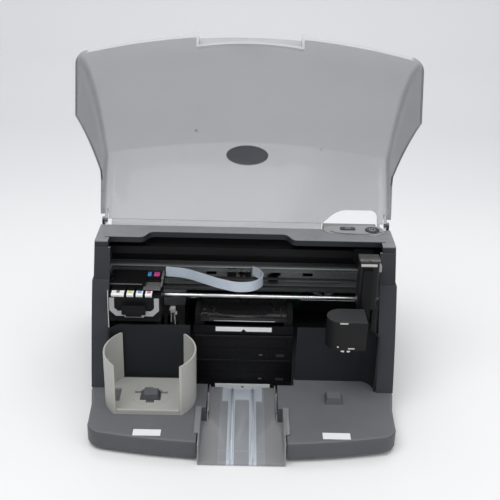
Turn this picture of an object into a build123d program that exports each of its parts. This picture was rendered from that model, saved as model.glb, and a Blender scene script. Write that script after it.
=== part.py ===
"""Desktop disc label printer with two stacked disc drives, a picking arm and a smoked lid.

Millimetres. +Z is up, +X is to the right seen from the front, and the front faces -Y.
The origin is on the table, below the middle of the machine. The lid is modelled shut and
then swung open about its hinge, which is how it stands at rest.
"""
from build123d import *
import math
import os

os.makedirs("parts", exist_ok=True)

# ---------------------------------------------------------------- driving dimensions
WIDTH = 446.0            # over the two side shells
REAR_Y = 215.0           # outer face of the rear cover
SHELL = 3.0              # wall of the moulded shells
GAP = 0.3                # gap between pieces of different bodies
FIT = 0.05               # radial clearance of a running fit

FOOT_H = 4.0
FOOT_R = 10.0
FOOT_X = 185.0
FOOT_FRONT_Y = -140.0
FOOT_REAR_Y = 190.0
PAN_T = 4.0              # pan under the base
PAN_INSET = 5.0
PAN_FLANGE_T = 1.5

BASE_FRONT_Y = -211.0    # middle of the curved front
BASE_CORNER_Y = -190.0   # front edge where the corner rounding starts
BASE_CORNER_X = WIDTH / 2 - 26
BASE_NOSE_X = WIDTH / 2 - 8  # half width of the base at its front corners
BASE_WAIST_X = WIDTH / 2 - 6
PLATEAU_Z = 32.0         # top of the two plateaus
EDGE_R = 4.0             # rounded upper edge of the base

SEAM_Z = 184.0           # joint between the lower side shells and the top cover
SEAM_STEP = 2.0          # the top cover stands in by this much
TOP_Z = 236.0            # top of the bridge
PILLAR_W = 25.0          # width of a pillar's front face
PILLAR_FOOT_Y = -81.0    # front edge of a pillar at plateau height
PILLAR_SLOPE = 0.2463
PILLAR_BOW = 5.71e-4

LIP_Y = 12.0             # front edge of the bridge beside its recess
RECESS_Y = 33.0          # front edge inside the recess
RECESS_X0 = -147.0       # middle of the left S curve
RECESS_X1 = 66.0         # middle of the right S curve
S_HALF = 12.0            # half the run of an S curve
LIP_H = 9.0              # height of the bridge's front lip
TROUGH_Y = 56.0          # front wall of the hinge trough
TROUGH_END_Y = 80.0
TROUGH_Z = 222.0
SEAM_END_Y = 164.0       # the top cover's side walls run out on the sloping rear here
REAR_LOW_Z = 158.0       # top of the rear cover at the back

HINGE_Y = 65.0
HINGE_Z = 240.0
LID_OPEN = 108.6         # swing from shut to open, degrees
LID_WALL = 3.0
LID_TOP_REAR_Z = 252.0
LID_TOP_RISE = 0.30      # rise of the shut lid's top per mm towards the front
LID_FOOT_Z = 36.0        # lower edge of the shut lid
LID_FOOT_Y = -166.0      # its front panel at the corners
LID_BOW = 24.0           # how far the front panel bows out in the middle
LID_RAKE = 0.51          # rearward run of the front panel per mm of height
LID_BULGE = 30.0         # how far the front panel bulges between its foot and its crease
LID_CREASE_H = 247.0     # height of that crease above the foot
LID_CORNER_R = 18.0
LID_CORNER_X = WIDTH / 2 - 18
EAR_R = 6.0
EAR_X = WIDTH / 2 - 10.7  # inner face of a hinge ear
EAR_T = 4.0
EAR_H = 10.0             # height of the web that joins an ear to the lid
EAR_NOTCH = 9.0          # the lid is cut back this far beside its ears
PIN_R = 3.0
BOSS_T = 3.0
BOSS_R = 5.0
GRIP_HALF = 90.0         # over the two tabs beside the finger recess
TAB_OUT = 5.0
TAB_H = 5.0
SCOOP_HALF = 66.0
SCOOP_END = 12.0         # depth of the recess at its ends
SCOOP_MID = 9.0
SCOOP_H = 22.0
BADGE_A = 33.0
BADGE_B = 16.0
BADGE_T = 0.8
BADGE_ALONG = 108.0      # distance of the badge from the lid's rear edge
CUTOUT_X0 = 118.0
CUTOUT_X1 = WIDTH / 2 - 20
CUTOUT_D = 22.0

PANEL_X0 = 132.0
PANEL_X1 = WIDTH / 2 - 30
PANEL_Y = 53.0
PANEL_R0 = 14.0
PANEL_R1 = 20.0
PANEL_T = 2.0
MENU_X = 156.0
MENU_Y = 57.0
MENU_L = 23.0
MENU_W = 11.0
POWER_X = WIDTH / 2 - 30
POWER_Y = 53.0
POWER_R = 11.0
BUTTON_STAND = 1.8
BUTTON_TRAVEL = 1.2
BUTTON_CLEAR = 0.4

DRIVE_W = 146.0
DRIVE_H = 41.3
DRIVE_L = 170.0
DRIVE_PITCH = 42.0
DRIVE_Z = 14.0
DRIVE_FACE_Y = -34.0
BEZEL_T = 4.0
BEZEL_W = 148.0
DOOR_HALF = 65.0
DOOR_Z0 = 21.0
DOOR_Z1 = 36.0
TRAY_HALF = 64.0
TRAY_T = 4.0
TRAY_L = 144.0
TRAY_TRAVEL = 137.0      # an open tray holds its disc in line with the bins
DISC_R = 60.0
DISC_CLEAR = 1.0
TRAY_DISC_FROM_FACE = 69.0
EJECT_X = 56.0
EJECT_L = 12.0
EJECT_H = 4.4
EJECT_Z = 8.5
CAGE_T = 1.4
CASE_T = 1.2             # sheet of the drives' and the power supply's cases
STRIP_HALF = 42.0
STRIP_H = 7.0
STRIP_T = 1.0
NOTCH = 4.0
UPPER_BAR_H = 14.0

CHUTE_WIDE = 60.0
CHUTE_NARROW = 50.0
CHUTE_STEP_Y = -127.0
CHUTE_FRONT_Y = -216.6
CHUTE_REAR_Y = -46.0
CHUTE_Z0 = 1.0
CHUTE_Z1 = 12.0
CHUTE_T = 2.0
CHUTE_RIB_X = 15.0
CHANNEL_CLEAR = 2.0
CHANNEL_REAR = 77.0
CHANNEL_REAR_Y = -66.0

BIN_X = -133.0
BIN_R = 66.0
BIN_WALL = 2.5
BIN_FLAT = 45.0          # the bin is cut flat this far before and behind its axis
BIN_TOP = 112.0
BIN_FLOOR_T = 3.0
BLOCK_L = 27.0
BLOCK_W = 24.0
BLOCK_H = 9.0
BLOCK_TAPER = 20.0
BLOCK_CLEAR = 1.5

LINER_Y = -48.0          # rear face of the bay liners
LINER_T = 2.5
LINER_TOP = 122.0
LINER_BEND_X = WIDTH / 2 - 43
LINER_SIDE_X = WIDTH / 2 - 26
LINER_SIDE_Y = -78.0

ROD_R = 3.5
ROD_Y = 15.0
ROD_Z = 139.0
FRAME_X = WIDTH / 2 - 19  # inner face of the print frame's legs
FRAME_T = 2.0
FRAME_BACK_Y = 50.0
FRAME_LOW_Z = 146.0
FRAME_HIGH_Z = 180.0
BACK_LOW_Z = 130.0       # the frame's back plate closes the bay behind the rails
BACK_HIGH_Z = 225.0
FLANGE_Y = 33.0

CARRIAGE_X = 63 - WIDTH / 2
CARRIAGE_W = 76.0
CARRIAGE_Y0 = -50.0
CARRIAGE_Z0 = 128.0
CARRIAGE_Z1 = 166.0
CART_Z1 = 170.0
CART_CLEAR = 0.5
BLACK_W = 21.0
COLOUR_W = 12.0
LATCH_T = 3.0
BELT_R = 6.0
BELT_X = WIDTH / 2 - 38
BELT_Z = 157.0
BELT_T = 1.2
BELT_W = 6.0
BELT_Y = 24.0
MOTOR_R = 15.0
MOTOR_L = 32.0
SHAFT_R = 2.0

TRAY2_Z = 118.0          # underside of the print tray
TRAY2_T = 6.0
GUIDE_X = 65.0
GUIDE_T = 8.0

ARM_X = WIDTH / 2 - 46  # middle of the parked arm's column
ARM_TRAVEL = 278.0       # from the parked arm to the bin
COLUMN_W = 28.0
COLUMN_Y0 = -55.0
COLUMN_Y1 = -33.0
COLUMN_Z0 = 158.0
COLUMN_Z1 = 232.0
CAP_T = 4.0
RAIL_Y = 26.0
RAIL_Z = 211.0
RAIL_S = 12.0
RAIL_CLEAR = 0.1
SCREW_R = 3.0
SLIDER_W = 14.0
SLIDER_T = 5.0
HEAD_W = 56.0
HEAD_Y0 = -107.0
HEAD_Y1 = -65.0
HEAD_Z0 = 119.0
HEAD_Z1 = 164.0
FINGER_H = 5.0
FINGER_Y = -100.0

LEG_Y0 = 5.0
ROD_HALF = WIDTH / 2 - 13
ENCODER_Y = 31.0
ENCODER_Z = 172.0
SERVICE_X0 = 31 - WIDTH / 2
SERVICE_X1 = 95 - WIDTH / 2
SERVICE_Y0 = -42.0
SERVICE_Y1 = 2.0
RIBBON_T = 0.8
RIBBON_Z0 = 168.0
RIBBON_Z1 = 184.0
RAIL_HALF = WIDTH / 2 - 7
BOARD_Y = 196.0
BOARD_T = 1.6
BOARD_X0 = -40.0
BOARD_X1 = 100.0
BOARD_Z0 = 22.0
BOARD_Z1 = 150.0
PSU_X0 = 28 - WIDTH / 2
PSU_X1 = 128 - WIDTH / 2
PSU_Y0 = 70.0
PSU_Y1 = 210.0
PSU_Z = 92.0
SCREW_HEAD_R = 3.2
SCREW_HEAD_T = 1.6
VENT_COUNT = 6
VENT_PITCH = 9.0
VENT_Z = 95.0
VENT_L = 90.0
FAN_X = 140.0
FAN_Z = 75.0
FAN_R = 27.0
FAN_FRAME = 60.0
FAN_T = 15.0
INLET_X = -150.0
INLET_Z = 60.0
INLET_W = 28.0
INLET_H = 21.0
PORT_X = 20.0
PORT_Z = 60.0
PORT_S = 13.0
POCKET_D = 1.9           # depth of the buttons' pockets in the panel
LID_EDGE_CLEAR = 2.5
LID_KINK_Y = 4.0
LID_KINK_Z = 242.0
LOW_BAR_Z = 4.6
BAR_HALF = 73.0
BAR_Z0 = 1.0
BAR_Z1 = 4.4
BAR_T = 8.0
SLOT_HALF = 24.0
WINDOW_HALF = 17.0
WINDOW_TOP = 78.0
LABEL_X = 130.0
LABEL_Y = -189.0
LABEL_L = 38.0
LABEL_W = 14.0
LABEL_T = 0.3

# ---------------------------------------------------------------- worked out from them
HALF = WIDTH / 2
BASE_Z = FOOT_H + PAN_T
INNER_Y = REAR_Y - SHELL
DRIVE_TOP = DRIVE_Z + DRIVE_PITCH + DRIVE_H + 0.7
CAGE_X = DRIVE_W / 2 + GAP
TRAY_DISC_Y = DRIVE_FACE_Y + TRAY_DISC_FROM_FACE
BIN_Y = TRAY_DISC_Y - TRAY_TRAVEL
HEAD_X = BIN_X + ARM_TRAVEL


def pillar_y(z):
    """Front edge of a pillar at height z: it leans back and bows slightly."""
    h = z - PLATEAU_Z
    return PILLAR_FOOT_Y + PILLAR_SLOPE * h + PILLAR_BOW * h * h


def lid_top(y):
    """Height of the shut lid's top plane at depth y."""
    return LID_TOP_REAR_Z + LID_TOP_RISE * (HINGE_Y - y)


def save(builder, name):
    """Label a finished piece and write it."""
    solid = builder.part if hasattr(builder, "part") else builder
    solid.label = name
    export_step(solid, f"parts/{name}.step")


def block(x0, x1, y0, y1, z0, z1, mode=Mode.ADD):
    """A box between two corners, for use inside a BuildPart."""
    with Locations(((x0 + x1) / 2, (y0 + y1) / 2, (z0 + z1) / 2)):
        Box(x1 - x0, y1 - y0, z1 - z0, mode=mode)


def rod(x, y, z, r, length, axis, mode=Mode.ADD):
    """A cylinder that starts at a point and runs along an axis, inside a BuildPart."""
    plane = Plane(origin=(x, y, z), z_dir=axis)
    with Locations(plane):
        Cylinder(r, length, align=(Align.CENTER, Align.CENTER, Align.MIN), mode=mode)


def base_outline(inset):
    """Plan of the base: straight sides, rounded front corners, a bowed front."""
    side = HALF - inset
    waist = (BASE_WAIST_X - inset, PILLAR_FOOT_Y - 38)
    nose = (BASE_NOSE_X - inset, -162 + inset / 4)
    turn = (BASE_NOSE_X - 4 - 0.9 * inset, -179 + 0.6 * inset)
    corner = (BASE_CORNER_X - inset / 2, BASE_CORNER_Y + 0.9 * inset)
    with BuildSketch() as plan:
        with BuildLine():
            for s in (1, -1):
                Line((s * side, REAR_Y - inset), (s * side, PILLAR_FOOT_Y))
                Line((s * side, PILLAR_FOOT_Y), (s * waist[0], waist[1]))
                Line((s * waist[0], waist[1]), (s * nose[0], nose[1]))
                ThreePointArc((s * nose[0], nose[1]), (s * turn[0], turn[1]), (s * corner[0], corner[1]))
            ThreePointArc((-corner[0], corner[1]), (0, BASE_FRONT_Y + inset), corner)
            Line((-side, REAR_Y - inset), (side, REAR_Y - inset))
        make_face()
    return plan.sketch


def channel_cut(z0, z1, margin):
    """The gap between the plateaus, inside a BuildPart."""
    front = BASE_FRONT_Y - 10
    wide = CHUTE_WIDE + CHANNEL_CLEAR + margin
    narrow = CHUTE_NARROW + CHANNEL_CLEAR + margin
    rear = CHANNEL_REAR + margin
    block(-wide, wide, front, CHUTE_STEP_Y + margin, z0, z1, Mode.SUBTRACT)
    block(-narrow, narrow, CHUTE_STEP_Y, CHANNEL_REAR_Y + 1, z0, z1, Mode.SUBTRACT)
    block(-rear, rear, CHANNEL_REAR_Y - margin, LINER_Y + 22, z0, z1, Mode.SUBTRACT)


# ---------------------------------------------------------------- base
with BuildPart() as feet:
    for fx in (-FOOT_X, FOOT_X):
        for fy in (FOOT_FRONT_Y, FOOT_REAR_Y):
            rod(fx, fy, 0, FOOT_R, FOOT_H, (0, 0, 1))
save(feet, "feet")

with BuildPart() as base_pan:
    with BuildSketch(Plane.XY.offset(FOOT_H)):
        add(base_outline(PAN_INSET))
    extrude(amount=PAN_T - PAN_FLANGE_T)
    with BuildSketch(Plane.XY.offset(BASE_Z - PAN_FLANGE_T)):
        add(base_outline(0.6))
    extrude(amount=PAN_FLANGE_T)
    channel_cut(FOOT_H - 1, BASE_Z + 1, 0)
save(base_pan, "base_pan")

with BuildPart() as base_tray:
    with BuildSketch(Plane.XY.offset(BASE_Z)):
        add(base_outline(0))
    extrude(amount=PLATEAU_Z - EDGE_R - BASE_Z)
    for drop, inset in ((1, 0), (0.3, 0.3), (0, 1)):
        with BuildSketch(Plane.XY.offset(PLATEAU_Z - drop * EDGE_R)):
            add(base_outline(inset * EDGE_R))
    loft(ruled=True)
    with BuildSketch(Plane.XY.offset(BASE_Z)):
        add(base_outline(SHELL))
    extrude(amount=PLATEAU_Z - SHELL - BASE_Z, mode=Mode.SUBTRACT)
    front = BASE_FRONT_Y + SHELL
    wide = CHUTE_WIDE + CHANNEL_CLEAR + SHELL
    narrow = CHUTE_NARROW + CHANNEL_CLEAR + SHELL
    rear = CHANNEL_REAR + SHELL
    block(-wide, wide, front, CHUTE_STEP_Y + SHELL, BASE_Z, PLATEAU_Z - SHELL)
    block(-narrow, narrow, CHUTE_STEP_Y, CHANNEL_REAR_Y, BASE_Z, PLATEAU_Z - SHELL)
    block(-rear, rear, CHANNEL_REAR_Y - SHELL, LINER_Y, BASE_Z, PLATEAU_Z - SHELL)
    channel_cut(BASE_Z - 1, PLATEAU_Z + 1, 0)
    hollow_x = HALF - SHELL
    block(-hollow_x, hollow_x, LINER_Y, INNER_Y, BASE_Z - 1, PLATEAU_Z + 1, Mode.SUBTRACT)
    for bx in (BIN_X, -BIN_X):
        with BuildSketch(Plane(origin=(bx, BIN_Y, PLATEAU_Z - 1))):
            Rectangle(BLOCK_L, BLOCK_W)
        extrude(amount=BLOCK_H + 1, taper=BLOCK_TAPER)
save(base_tray, "base_tray")

# ---------------------------------------------------------------- side shells and top cover
def pillar_profile(x, z0, z1, inset, rear):
    """Side view of a whole side wall between two heights."""
    zm = (z0 + z1) / 2
    edge = [(pillar_y(z) + inset, z) for z in (z0, zm, z1)]
    with BuildSketch(Plane.YZ.offset(x)) as wall:
        with BuildLine():
            ThreePointArc(*edge)
            Polyline(edge[2], (rear, z1), (rear, z0), edge[0])
        make_face()
    return wall.sketch


def pillar_front(x, z0, z1, inset):
    """Side view of a pillar's front wall."""
    zm = (z0 + z1) / 2
    edge = [(pillar_y(z) + inset, z) for z in (z0, zm, z1)]
    back = [(y + SHELL, z) for y, z in edge]
    with BuildSketch(Plane.YZ.offset(x)) as strip:
        with BuildLine():
            ThreePointArc(*edge)
            Line(edge[2], back[2])
            ThreePointArc(*reversed(back))
            Line(back[0], edge[0])
        make_face()
    return strip.sketch


def rear_cut():
    """What the sloping rear takes off both side walls."""
    with BuildPart() as cut:
        with BuildSketch(Plane.YZ.offset(-HALF - 1)):
            Polygon(
                (TROUGH_Y, TROUGH_Z), (TROUGH_END_Y, TROUGH_Z), (REAR_Y, REAR_LOW_Z),
                (REAR_Y, TOP_Z + 9), (TROUGH_Y, TOP_Z + 9), align=None,
            )
        extrude(amount=WIDTH + 2)
    return cut.part


def side_shell(side):
    """Lower side wall with the pillar's front face."""
    outer = side * HALF
    with BuildPart() as shell:
        extrude(pillar_profile(outer, PLATEAU_Z, SEAM_Z, 0, INNER_Y), amount=-side * SHELL)
        add(rear_cut(), mode=Mode.SUBTRACT)
        extrude(pillar_front(outer, PLATEAU_Z, SEAM_Z, 0), amount=-side * PILLAR_W)
    return shell


save(side_shell(-1), "side_shell_left")
save(side_shell(1), "side_shell_right")

UPPER = HALF - SEAM_STEP
with BuildPart() as top_cover:
    with BuildSketch(Plane.XY.offset(TOP_Z)):
        with BuildLine():
            corner_y = pillar_y(TOP_Z) + SEAM_STEP
            pillar_in = UPPER - PILLAR_W + 11
            Polyline((-UPPER, TROUGH_Y), (-UPPER, corner_y), (-pillar_in - 4, corner_y))
            Line((-pillar_in - 4, corner_y), (-pillar_in, LIP_Y))
            Line((-pillar_in, LIP_Y), (RECESS_X0 - S_HALF, LIP_Y))
            Spline(
                (RECESS_X0 - S_HALF, LIP_Y),
                (RECESS_X0 + S_HALF, RECESS_Y),
                tangents=((1, 0), (1, 0)),
            )
            Line((RECESS_X0 + S_HALF, RECESS_Y), (RECESS_X1 - S_HALF, RECESS_Y))
            Spline(
                (RECESS_X1 - S_HALF, RECESS_Y),
                (RECESS_X1 + S_HALF, LIP_Y),
                tangents=((1, 0), (1, 0)),
            )
            Line((RECESS_X1 + S_HALF, LIP_Y), (pillar_in, LIP_Y))
            Polyline(
                (pillar_in, LIP_Y), (pillar_in + 4, corner_y), (UPPER, corner_y), (UPPER, TROUGH_Y)
            )
            Line((UPPER, TROUGH_Y), (-UPPER, TROUGH_Y))
        make_face()
    extrude(amount=-LIP_H)
    fillet(
        top_cover.faces().sort_by(Axis.Z)[-1].edges().filter_by(
            lambda e: e.center().Y < TROUGH_Y - 1 and abs(e.center().X) < UPPER - 1
        ),
        radius=1.8,
    )
    block(
        -UPPER + SHELL, UPPER - SHELL, RECESS_Y + SHELL, TROUGH_Y - SHELL,
        TOP_Z - LIP_H - 1, TOP_Z - SHELL, Mode.SUBTRACT,
    )
    block(-UPPER, UPPER, TROUGH_Y - SHELL, TROUGH_END_Y, TROUGH_Z - SHELL, TROUGH_Z)
    block(-UPPER, UPPER, TROUGH_Y - SHELL, TROUGH_Y, TROUGH_Z - SHELL, TOP_Z - LIP_H)
    block(CUTOUT_X0 + 1, CUTOUT_X1 - 2, TROUGH_Y - 1, TROUGH_END_Y, TROUGH_Z - 1, TOP_Z)
    for side in (-1, 1):
        outer = side * UPPER
        wall = pillar_profile(outer, SEAM_Z, TOP_Z - LIP_H, SEAM_STEP, INNER_Y)
        slab = extrude(wall, amount=-side * SHELL, mode=Mode.PRIVATE)
        add(slab - rear_cut())
        strip = pillar_front(outer, SEAM_Z, TOP_Z - LIP_H, SEAM_STEP)
        extrude(strip, amount=-side * (PILLAR_W - SEAM_STEP))
        ear_out = EAR_X + EAR_T + GAP
        x0, x1 = sorted((side * ear_out, side * (ear_out + BOSS_T)))
        block(x0, x1, HINGE_Y - BOSS_R, HINGE_Y + BOSS_R, TROUGH_Z - 1, HINGE_Z)
        rod(x0, HINGE_Y, HINGE_Z, BOSS_R, BOSS_T, (1, 0, 0))
    with BuildSketch(Plane.XY.offset(TOP_Z)):
        with BuildLine():
            Line((PANEL_X0, PANEL_Y - PANEL_R0), (PANEL_X1, PANEL_Y - PANEL_R1))
            ThreePointArc(
                (PANEL_X1, PANEL_Y - PANEL_R1), (PANEL_X1 + PANEL_R1 - 2, PANEL_Y),
                (PANEL_X1, PANEL_Y + PANEL_R1),
            )
            Line((PANEL_X1, PANEL_Y + PANEL_R1), (PANEL_X0, PANEL_Y + PANEL_R0))
            ThreePointArc(
                (PANEL_X0, PANEL_Y + PANEL_R0), (PANEL_X0 - PANEL_R0, PANEL_Y),
                (PANEL_X0, PANEL_Y - PANEL_R0),
            )
        make_face()
    extrude(amount=-1.0, mode=Mode.SUBTRACT)
save(top_cover, "top_cover")

with BuildPart() as rear_cover:
    block(-HALF, HALF, INNER_Y, REAR_Y, PLATEAU_Z, REAR_LOW_Z)
    slope = (TROUGH_Z - REAR_LOW_Z) / (REAR_Y - TROUGH_END_Y)
    for half, y0 in ((UPPER - SHELL - GAP, TROUGH_END_Y), (HALF - SHELL - GAP, SEAM_END_Y)):
        z0 = TROUGH_Z - slope * (y0 - TROUGH_END_Y)
        with BuildSketch(Plane.YZ.offset(-half)):
            Polygon(
                (y0, z0), (y0, z0 - SHELL), (INNER_Y, REAR_LOW_Z - SHELL),
                (REAR_Y, REAR_LOW_Z - SHELL), (REAR_Y, REAR_LOW_Z), align=None,
            )
        extrude(amount=2 * half)
    for x0 in (-190.0, 75.0):
        for n in range(VENT_COUNT):
            vent_z = VENT_Z + n * VENT_PITCH
            block(x0, x0 + VENT_L, INNER_Y - 1, REAR_Y + 1, vent_z, vent_z + 4, Mode.SUBTRACT)
    rod(FAN_X, INNER_Y - 1, FAN_Z, FAN_R, SHELL + 2, (0, 1, 0), Mode.SUBTRACT)
    block(
        INLET_X - INLET_W / 2, INLET_X + INLET_W / 2, INNER_Y - 1, REAR_Y + 1,
        INLET_Z - INLET_H / 2, INLET_Z + INLET_H / 2, Mode.SUBTRACT,
    )
    block(
        PORT_X - PORT_S / 2, PORT_X + PORT_S / 2, INNER_Y - 1, REAR_Y + 1,
        PORT_Z - PORT_S / 2, PORT_Z + PORT_S / 2, Mode.SUBTRACT,
    )
save(rear_cover, "rear_cover")


def bay_liner(side):
    """Dark wall behind an input bay: flat across, then bent forward to the pillar."""
    x0 = side * (CHANNEL_REAR + 2)
    bend = (side * LINER_BEND_X, LINER_Y)
    mid = (side * (LINER_SIDE_X - 5), LINER_Y - 9)
    end = (side * LINER_SIDE_X, LINER_SIDE_Y)
    t = LINER_T
    with BuildPart() as liner:
        with BuildSketch(Plane.XY.offset(PLATEAU_Z)):
            with BuildLine():
                Line((x0, LINER_Y), bend)
                ThreePointArc(bend, mid, end)
                Line(end, (end[0] - side * t, end[1]))
                ThreePointArc(
                    (end[0] - side * t, end[1]), (mid[0] - side * t, mid[1] - 1),
                    (bend[0], LINER_Y - t),
                )
                Line((bend[0], LINER_Y - t), (x0, LINER_Y - t))
                Line((x0, LINER_Y - t), (x0, LINER_Y))
            make_face()
        extrude(amount=LINER_TOP - PLATEAU_Z)
    return liner


save(bay_liner(-1), "bay_liner_left")
save(bay_liner(1), "bay_liner_right")

# ---------------------------------------------------------------- control panel
with BuildPart() as control_panel:
    with BuildSketch(Plane.XY.offset(TOP_Z - 1.0)):
        with BuildLine():
            r0 = PANEL_R0 - GAP
            r1 = PANEL_R1 - GAP
            Line((PANEL_X0, PANEL_Y - r0), (PANEL_X1, PANEL_Y - r1))
            ThreePointArc(
                (PANEL_X1, PANEL_Y - r1), (PANEL_X1 + r1 - 2, PANEL_Y), (PANEL_X1, PANEL_Y + r1)
            )
            Line((PANEL_X1, PANEL_Y + r1), (PANEL_X0, PANEL_Y + r0))
            ThreePointArc(
                (PANEL_X0, PANEL_Y + r0), (PANEL_X0 - r0, PANEL_Y), (PANEL_X0, PANEL_Y - r0)
            )
        make_face()
    extrude(amount=PANEL_T)
    panel_top = TOP_Z - 1.0 + PANEL_T
    with BuildSketch(Plane(origin=(MENU_X, MENU_Y, panel_top))):
        RectangleRounded(MENU_L + 2 * BUTTON_CLEAR, MENU_W + 2 * BUTTON_CLEAR, 3.5)
    extrude(amount=-POCKET_D, mode=Mode.SUBTRACT)
    with BuildSketch(Plane(origin=(POWER_X, POWER_Y, panel_top))):
        Circle(POWER_R + BUTTON_CLEAR)
    extrude(amount=-POCKET_D, mode=Mode.SUBTRACT)
save(control_panel, "control_panel")

BUTTON_Z = panel_top - POCKET_D + BUTTON_TRAVEL + 0.1
with BuildPart() as menu_button:
    with BuildSketch(Plane(origin=(MENU_X, MENU_Y, BUTTON_Z))):
        RectangleRounded(MENU_L, MENU_W, 3.2)
    extrude(amount=BUTTON_STAND)
    fillet(menu_button.faces().sort_by(Axis.Z)[-1].edges(), radius=0.6)
save(menu_button, "menu_button")

with BuildPart() as power_button:
    with BuildSketch(Plane(origin=(POWER_X, POWER_Y, BUTTON_Z))):
        Circle(POWER_R)
    extrude(amount=BUTTON_STAND)
    fillet(power_button.faces().sort_by(Axis.Z)[-1].edges(), radius=0.6)
save(power_button, "power_button")

# ---------------------------------------------------------------- lid
def lid_outline(inset, h):
    """Plan of the shut lid at height h above its foot."""
    half = HALF - inset
    corner_x = LID_CORNER_X - inset / 2
    t = h / LID_CREASE_H
    y0 = LID_FOOT_Y + inset + LID_RAKE * h - 4 * LID_BULGE * t * (1 - t)
    back = HINGE_Y + 60
    with BuildSketch() as plan:
        with BuildLine():
            for s in (1, -1):
                Line((s * half, back), (s * half, y0 + 20))
                ThreePointArc((s * half, y0 + 20), (s * (half - 5), y0 + 6), (s * corner_x, y0))
            ThreePointArc((-corner_x, y0), (0, y0 - LID_BOW), (corner_x, y0))
            Line((-half, back), (half, back))
        make_face()
    return plan.sketch


def lid_plan(inset, start):
    """Body behind the bowed and bulging front panel, from a height above the lid's foot."""
    with BuildPart() as prism:
        for h in (start, 60, 120, 180, 240, 300):
            with BuildSketch(Plane.XY.offset(LID_FOOT_Z + h)):
                add(lid_outline(inset, h))
        loft()
    return prism.part


def lid_section(inset):
    """Cross-section with rounded upper corners, run along the rising top."""
    half = HALF - inset
    top = LID_TOP_REAR_Z - inset * math.hypot(1, LID_TOP_RISE)
    r = LID_CORNER_R - inset
    start = HINGE_Y + 1 + inset
    top_start = top - LID_TOP_RISE * (1 + inset)
    with BuildPart() as section:
        with BuildSketch(Plane(origin=(0, start, 0), x_dir=(1, 0, 0), z_dir=(0, -1, 0))):
            with BuildLine():
                Line((-half, -60), (half, -60))
                for s in (1, -1):
                    Line((s * half, -60), (s * half, top_start - r))
                    RadiusArc((s * half, top_start - r), (s * (half - r), top_start), -s * r)
                Line((-half + r, top_start), (half - r, top_start))
            make_face()
        extrude(amount=320, dir=(0, -1, LID_TOP_RISE))
    return section.part


def lid_side_profile():
    """What the side walls keep: their free edges follow the pillars and the bridge."""
    edge = LID_EDGE_CLEAR
    with BuildPart() as side_view:
        with BuildSketch(Plane.YZ.offset(-HALF - 5)):
            with BuildLine():
                Line((HINGE_Y - 1, 400), (-320, 400))
                Line((-320, 400), (-320, LID_FOOT_Z))
                Line((-320, LID_FOOT_Z), (pillar_y(LID_FOOT_Z) - edge, LID_FOOT_Z))
                ThreePointArc(
                    (pillar_y(LID_FOOT_Z) - edge, LID_FOOT_Z), (pillar_y(136) - edge, 136),
                    (pillar_y(TOP_Z) - edge, TOP_Z),
                )
                Line((pillar_y(TOP_Z) - edge, TOP_Z), (LID_KINK_Y, LID_KINK_Z))
                Line((LID_KINK_Y, LID_KINK_Z), (HINGE_Y - 1, LID_KINK_Z - 2))
                Line((HINGE_Y - 1, LID_KINK_Z - 2), (HINGE_Y - 1, 400))
            make_face()
        extrude(amount=WIDTH + 10)
    return side_view.part


def foot_y(x):
    """Front of the shut lid's foot at a distance from its middle."""
    r = (LID_CORNER_X**2 + LID_BOW**2) / (2 * LID_BOW)
    return LID_FOOT_Y - LID_BOW + r - math.sqrt(r * r - x * x)


def scoop(aside, inward, z0, z1):
    """Finger recess in the lid's foot, grown sideways and inwards for its walls."""
    half = SCOOP_HALF + aside
    end = foot_y(SCOOP_HALF) + SCOOP_END + inward
    middle = foot_y(0) + SCOOP_MID + inward
    outside = foot_y(0) - 30
    with BuildPart() as pocket:
        with BuildSketch(Plane.XY.offset(z0)):
            with BuildLine():
                ThreePointArc((-half, end), (0, middle), (half, end))
                Polyline((half, end), (half, outside), (-half, outside), (-half, end))
            make_face()
        extrude(amount=z1 - z0)
    return pocket.part


shell_out = lid_plan(0, 0) & lid_section(0) & lid_side_profile()
shell_in = lid_plan(LID_WALL, -30) & lid_section(LID_WALL)
to_open = Rotation(-LID_OPEN, 0, 0)
hinge_at = Pos(0, HINGE_Y, HINGE_Z)


def swung(solid):
    """A piece of the shut lid, moved to where the open lid holds it."""
    return hinge_at * to_open * hinge_at.inverse() * solid


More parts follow.
